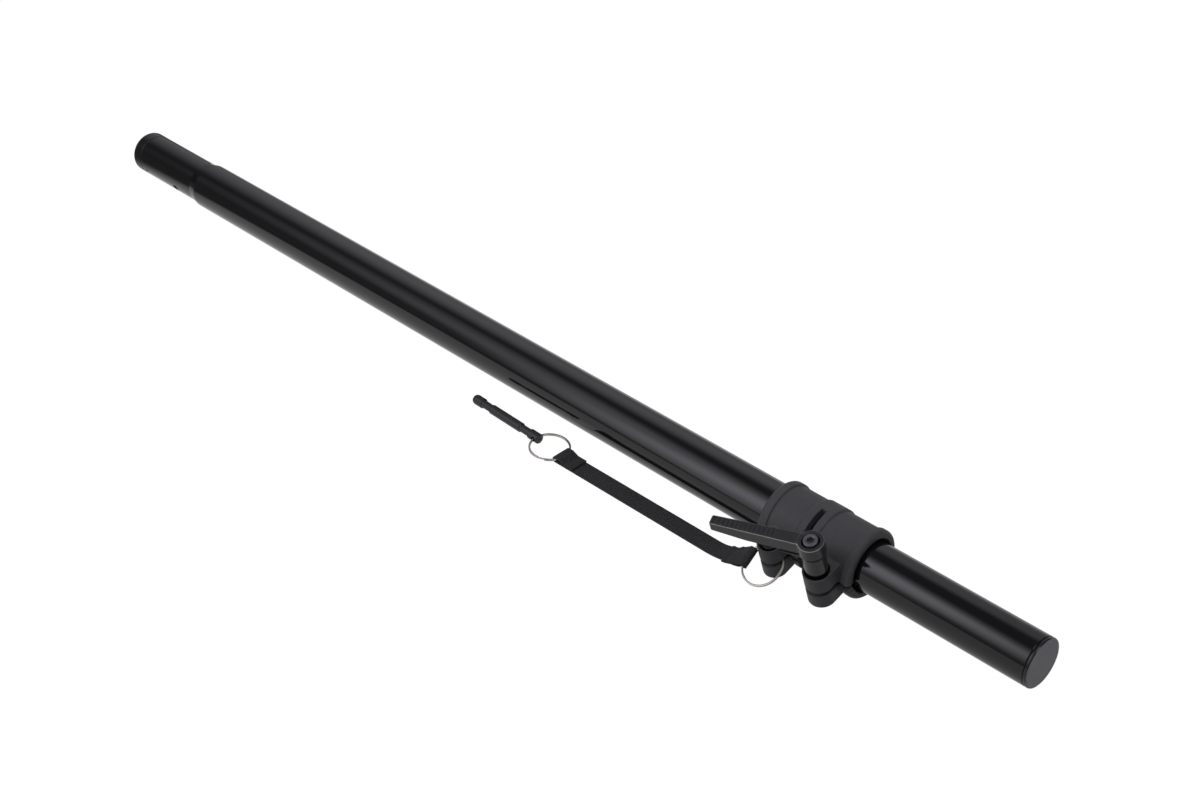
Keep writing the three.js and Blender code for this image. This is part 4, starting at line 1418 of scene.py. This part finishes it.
# %% Strap
HALF_SECTION = (
    (-7.5, 0.0), (-7.42, 0.42), (-7.05, 0.6), (-6.0, 0.56), (-4.0, 0.58), (-2.0, 0.6), (0.0, 0.6),
    (2.0, 0.6), (4.0, 0.58), (6.0, 0.56), (7.05, 0.6), (7.42, 0.42),
)
SECTION = HALF_SECTION + tuple((-across, -out) for across, out in HALF_SECTION)


def build_strap():
    path = strap_path()
    spans = np.linalg.norm(np.diff(path, axis=0), axis=1)
    lengths = np.concatenate(([0], np.cumsum(spans)))
    tangent = np.gradient(path, axis=0)
    tangent /= np.linalg.norm(tangent, axis=1, keepdims=True)
    verts, marks = [], []
    for (x, h), (tx, th), length in zip(path, tangent, lengths):
        for across, out in SECTION:
            verts.append(on_strap(x - th * out, across, h + tx * out))
            marks.append((length, across))
    faces = swept_faces(len(path), len(SECTION))
    strap = make_piece("tether_strap_webbing", verts, faces, TETHER, sharp=180, weld=0)
    layer = strap.data.uv_layers.new(name="along")
    for loop in strap.data.loops:
        layer.data[loop.index].uv = marks[loop.vertex_index]
    return strap, lengths[-1]


strap, strap_length = build_strap()
finish_piece(strap, WEBBING, "strap", "strap_webbing", "tether_strap")
print("strap is", round(strap_length), "mm long when cut")

# %% [markdown]
# ## Stitches
# Each folded end is sewn down with rows of thread across the strap. A Geometry Nodes tree lays
# one row: short threads, evenly spaced, whose number, pitch, length and thickness are its named
# inputs. The rows are then laid on the strap with the same rule that bends the strap itself.

# %% The stitch row tree
STITCHES = 6
STITCH_PITCH = 2.2


def stitch_tree():
    tree, given, out = new_group(
        "GeometryNodeTree",
        "Stitch row",
        {
            "Stitches": STITCHES,
            "Pitch": STITCH_PITCH,
            "Stitch length": 1.7,
            "Thread thickness": 0.42,
            "Material": None,
        },
        GEOMETRY_OUT,
    )
    thickness = given["Thread thickness"]
    step = first_of(tree, "ShaderNodeCombineXYZ", {"Y": given["Pitch"]})
    row = {"Count": given["Stitches"], "Offset": step}
    line = first_of(tree, "GeometryNodeMeshLine", row, mode="OFFSET")
    ball = {"Segments": 10, "Rings": 8, "Radius": 0.5}
    thread = first_of(tree, "GeometryNodeMeshUVSphere", ball)
    size = {"X": thickness, "Y": given["Stitch length"], "Z": thickness}
    size = first_of(tree, "ShaderNodeCombineXYZ", size)
    inputs = {"Points": line, "Instance": thread, "Scale": size}
    laid = first_of(tree, "GeometryNodeInstanceOnPoints", inputs)
    return finish_tree(tree, laid, given, out)


STITCH_TREE = stitch_tree()
THREAD = metal("black_thread", tone(0.05), tone(0.02), 0.001, (0.5, 0.65), 0.0)
tell("tree and thread", STITCH_TREE, THREAD)


# %% Stitches on the strap
def sew(rows):
    """Lay rows of stitches on the strap, each at its place along it and its height above it."""
    verts, faces = [], []
    row = grown("stitch_row", STITCH_TREE, {"Stitches": STITCHES, "Material": THREAD})
    middle = STITCH_PITCH * (STITCHES - 1) / 2
    for x, height in rows:
        start = len(verts)
        for v in row.data.vertices:
            verts.append(on_strap(x + v.co.x, v.co.y - middle, height + v.co.z))
        faces += [tuple(start + k for k in face.vertices) for face in row.data.polygons]
    bpy.data.objects.remove(row)
    return make_piece("strap_stitches", verts, faces, TETHER, sharp=80, weld=1e-7)


surface = STRAP_THICKNESS / 2 + 0.02
far_rows = [(-STRAP_RUN + 15.2, LAYER + surface), (-STRAP_RUN + FLAP_TAPER, LAYER + surface)]
stitches = sew(far_rows + [(x, surface) for x in NEAR_ROWS])
finish_piece(stitches, THREAD, "strap", "strap_webbing")

# %% [markdown]
# ## Hidden pieces
# The washers, the nuts, the disc, the spindle and the guide bush keep their CAD shapes and get
# their finishes.

# %% Finishes for the CAD nodes that stay
for node, material in (
    ("clamp_screw_washer", BLACK_STEEL),
    ("clamp_screw_nut", ZINC_STEEL),
    ("lever_washer", BLACK_STEEL),
    ("lever_thrust_disc", NYLON),
    ("lever_nut", ZINC_STEEL),
    ("lever_spindle", BLACK_STEEL),
    ("inner_guide_bush", BUSH_PLASTIC),
):
    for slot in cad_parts[node].material_slots:
        slot.material = material
    print(node, "gets", material.name)

# %% [markdown]
# ## Studio
# The photograph shows the pole on white, with hardly a shadow. The table is white to the camera
# and keeps a faint shadow of the object. Gloss shows it as a pale sheet with a slanting edge, and
# dark beyond. The world is white to the camera and a dim studio to everything else. Four soft
# lamps give the tubes their reflections: a large one overhead behind, one high in front, one low
# in front near the clamp, and one over the top end. The dark strip along the tubes is the gap
# between the first two.

# %% Table
# A point of the sheet's edge, and the direction across it
SHEET_EDGE = ((-0.027, 0.0), (0.465, 0.885))
SHEET_BACK = -0.06
SHEET_SOFT_EDGE = (-0.045, 0.012)
SHEET_PALE = ((0.2, 0.95), (0.78, 0.55))
MIRRORED_DARK = 0.11
TABLE_REACH = 6000.0
TABLE_GAP = 0.02


def mirrored_table(tree):
    """How bright the table looks in the tubes."""
    x, y, _ = separate(tree, object_place(tree))
    (edge_x, edge_y), (across_x, across_y) = SHEET_EDGE
    from_x = calc(tree, "MULTIPLY", calc(tree, "SUBTRACT", x, edge_x), across_x)
    from_y = calc(tree, "MULTIPLY", calc(tree, "SUBTRACT", y, edge_y), across_y)
    from_back = calc(tree, "SUBTRACT", x, SHEET_BACK)
    inside = calc(tree, "MINIMUM", calc(tree, "ADD", from_x, from_y), from_back)
    (start, end), (near, far) = SHEET_PALE
    pale = map_range(tree, x, start, end, near, far, smooth=False)
    return map_range(tree, inside, *SHEET_SOFT_EDGE, MIRRORED_DARK, pale)


def table_material():
    material, tree = new_material("white_table")
    tree.nodes.clear()
    path = tree.nodes.new("ShaderNodeLightPath").outputs
    glossy = path["Is Glossy Ray"]
    seen = calc(tree, "MAXIMUM", path["Is Camera Ray"], path["Is Transmission Ray"])
    share = calc(tree, "MAXIMUM", calc(tree, "MULTIPLY", seen, 0.9), glossy)
    strength = mix(tree, glossy, 1.1, mirrored_table(tree), "FLOAT")
    diffuse = first_of(tree, "ShaderNodeBsdfDiffuse", {"Color": tone(0.45)})
    inputs = {"Color": tone(1.0), "Strength": strength}
    glow = first_of(tree, "ShaderNodeEmission", inputs)
    both = first_of(tree, "ShaderNodeMixShader", {0: share, 1: diffuse, 2: glow})
    add_node(tree, "ShaderNodeOutputMaterial", {"Surface": both})
    return material


def make_table():
    ends = (-TABLE_REACH, TABLE_REACH)
    corners = [(ends[0], ends[0]), (ends[1], ends[0]), (ends[1], ends[1]), (ends[0], ends[1])]
    mesh = bpy.data.meshes.new("table")
    verts = [Vector((x, y, table_under(x) - TABLE_GAP)) * MM for x, y in corners]
    mesh.from_pydata(verts, [], [(0, 1, 2, 3)])
    mesh.materials.append(table_material())
    return put_in_scene("table", mesh)


table = make_table()
print("the table is", 2 * TABLE_REACH * MM, "m wide")

# %% World
# Each row: where a change starts and ends, by direction, and how bright it is before and after
FRONT = (-0.95, -0.3, 0.07, 0.26)
HORIZON = (-0.35, 0.35, 0.401)
OVERHEAD = (0.232, 0.487, 0.094)
FAR_END = (-0.88, -0.79, 0.5)
COOL_GLOW = tone(0.96, 0.945, 1.0)


def make_world():
    world = bpy.data.worlds.new("studio")
    bpy.context.scene.world = world
    world.use_nodes = True
    tree = world.node_tree
    tree.nodes.clear()
    x, y, z = separate(tree, tree.nodes.new("ShaderNodeTexCoord").outputs["Generated"])
    front = map_range(tree, x, *FRONT)
    low, high, level = HORIZON
    horizon = map_range(tree, y, low, high, front, level)
    low, high, level = OVERHEAD
    band = map_range(tree, z, low, high, horizon, level)
    mirrored = calc(tree, "MULTIPLY", band, map_range(tree, x, *FAR_END))
    path = tree.nodes.new("ShaderNodeLightPath").outputs
    direct = calc(tree, "MAXIMUM", path["Is Camera Ray"], path["Is Transmission Ray"])
    inputs = {
        "Color": mix(tree, direct, COOL_GLOW, tone(1.0)),
        "Strength": mix(tree, direct, mirrored, 1.0, "FLOAT"),
    }
    background = first_of(tree, "ShaderNodeBackground", inputs)
    add_node(tree, "ShaderNodeOutputWorld", {"Surface": background})


make_world()

# %% Lamps
COOL_WHITE = (0.94, 0.92, 1.0)
AIM = Vector((0.35, 0, 0))


def soft_cloth(data, softness):
    """Let a lamp fade towards its edges. Softness is the share of its half size that fades."""
    data.use_nodes = True
    tree = data.node_tree
    across, up, _ = separate(tree, tree.nodes.new("ShaderNodeNewGeometry").outputs["Parametric"])
    fades = []
    for socket, share in zip((across, up), softness):
        off_centre = calc(tree, "ABSOLUTE", calc(tree, "SUBTRACT", socket, 0.5))
        fades.append(map_range(tree, off_centre, 0.5, 0.5 - share / 2))
    feed(tree, tree.nodes["Emission"].inputs["Strength"], calc(tree, "MULTIPLY", *fades))


def soft_lamp(name, place, width, height, radiance, softness, roll):
    """A rectangular soft lamp. Radiance is its brightness in a mirror, with 1 for white."""
    data = bpy.data.lights.new(name, "AREA")
    data.shape = "RECTANGLE"
    data.size = width
    data.size_y = height
    data.energy = radiance * math.pi * width * height
    data.color = COOL_WHITE
    soft_cloth(data, softness)
    lamp = put_in_scene(name, data)
    ahead = (AIM - Vector(place)).normalized()
    level = ahead.cross(Vector((0, 0, 1))).normalized()
    up = level.cross(ahead)
    across = level * math.cos(roll) + up * math.sin(roll)
    upwards = up * math.cos(roll) - level * math.sin(roll)
    facing = Matrix((across, upwards, -ahead)).transposed().to_4x4()
    lamp.matrix_world = Matrix.Translation(place) @ facing
    lamp.visible_camera = False


# name, place, width, height, radiance, softness across and up, roll
LAMPS = (
    ("lamp_overhead_back", (-0.374, 0.868, 1.0), 3.306, 1.76, 0.72, (0.908, 0.849), -0.15),
    ("lamp_low_front", (0.334, -0.6, 0.318), 0.753, 1.05, 1.08, (0.849, 0.563), -0.567),
    ("lamp_high_front", (-0.009, -1.011, 0.998), 2.876, 2.0, 1.34, (1.0, 0.837), -0.275),
    ("lamp_overhead_right", (1.2, -0.1, 1.35), 0.8, 0.8, 5.0, (0.6, 0.6), 0.0),
)
for lamp in LAMPS:
    soft_lamp(*lamp)
print("lamps:", len(LAMPS))

# %% View settings
bpy.context.scene.view_settings.view_transform = "Standard"
bpy.context.view_layer.update()
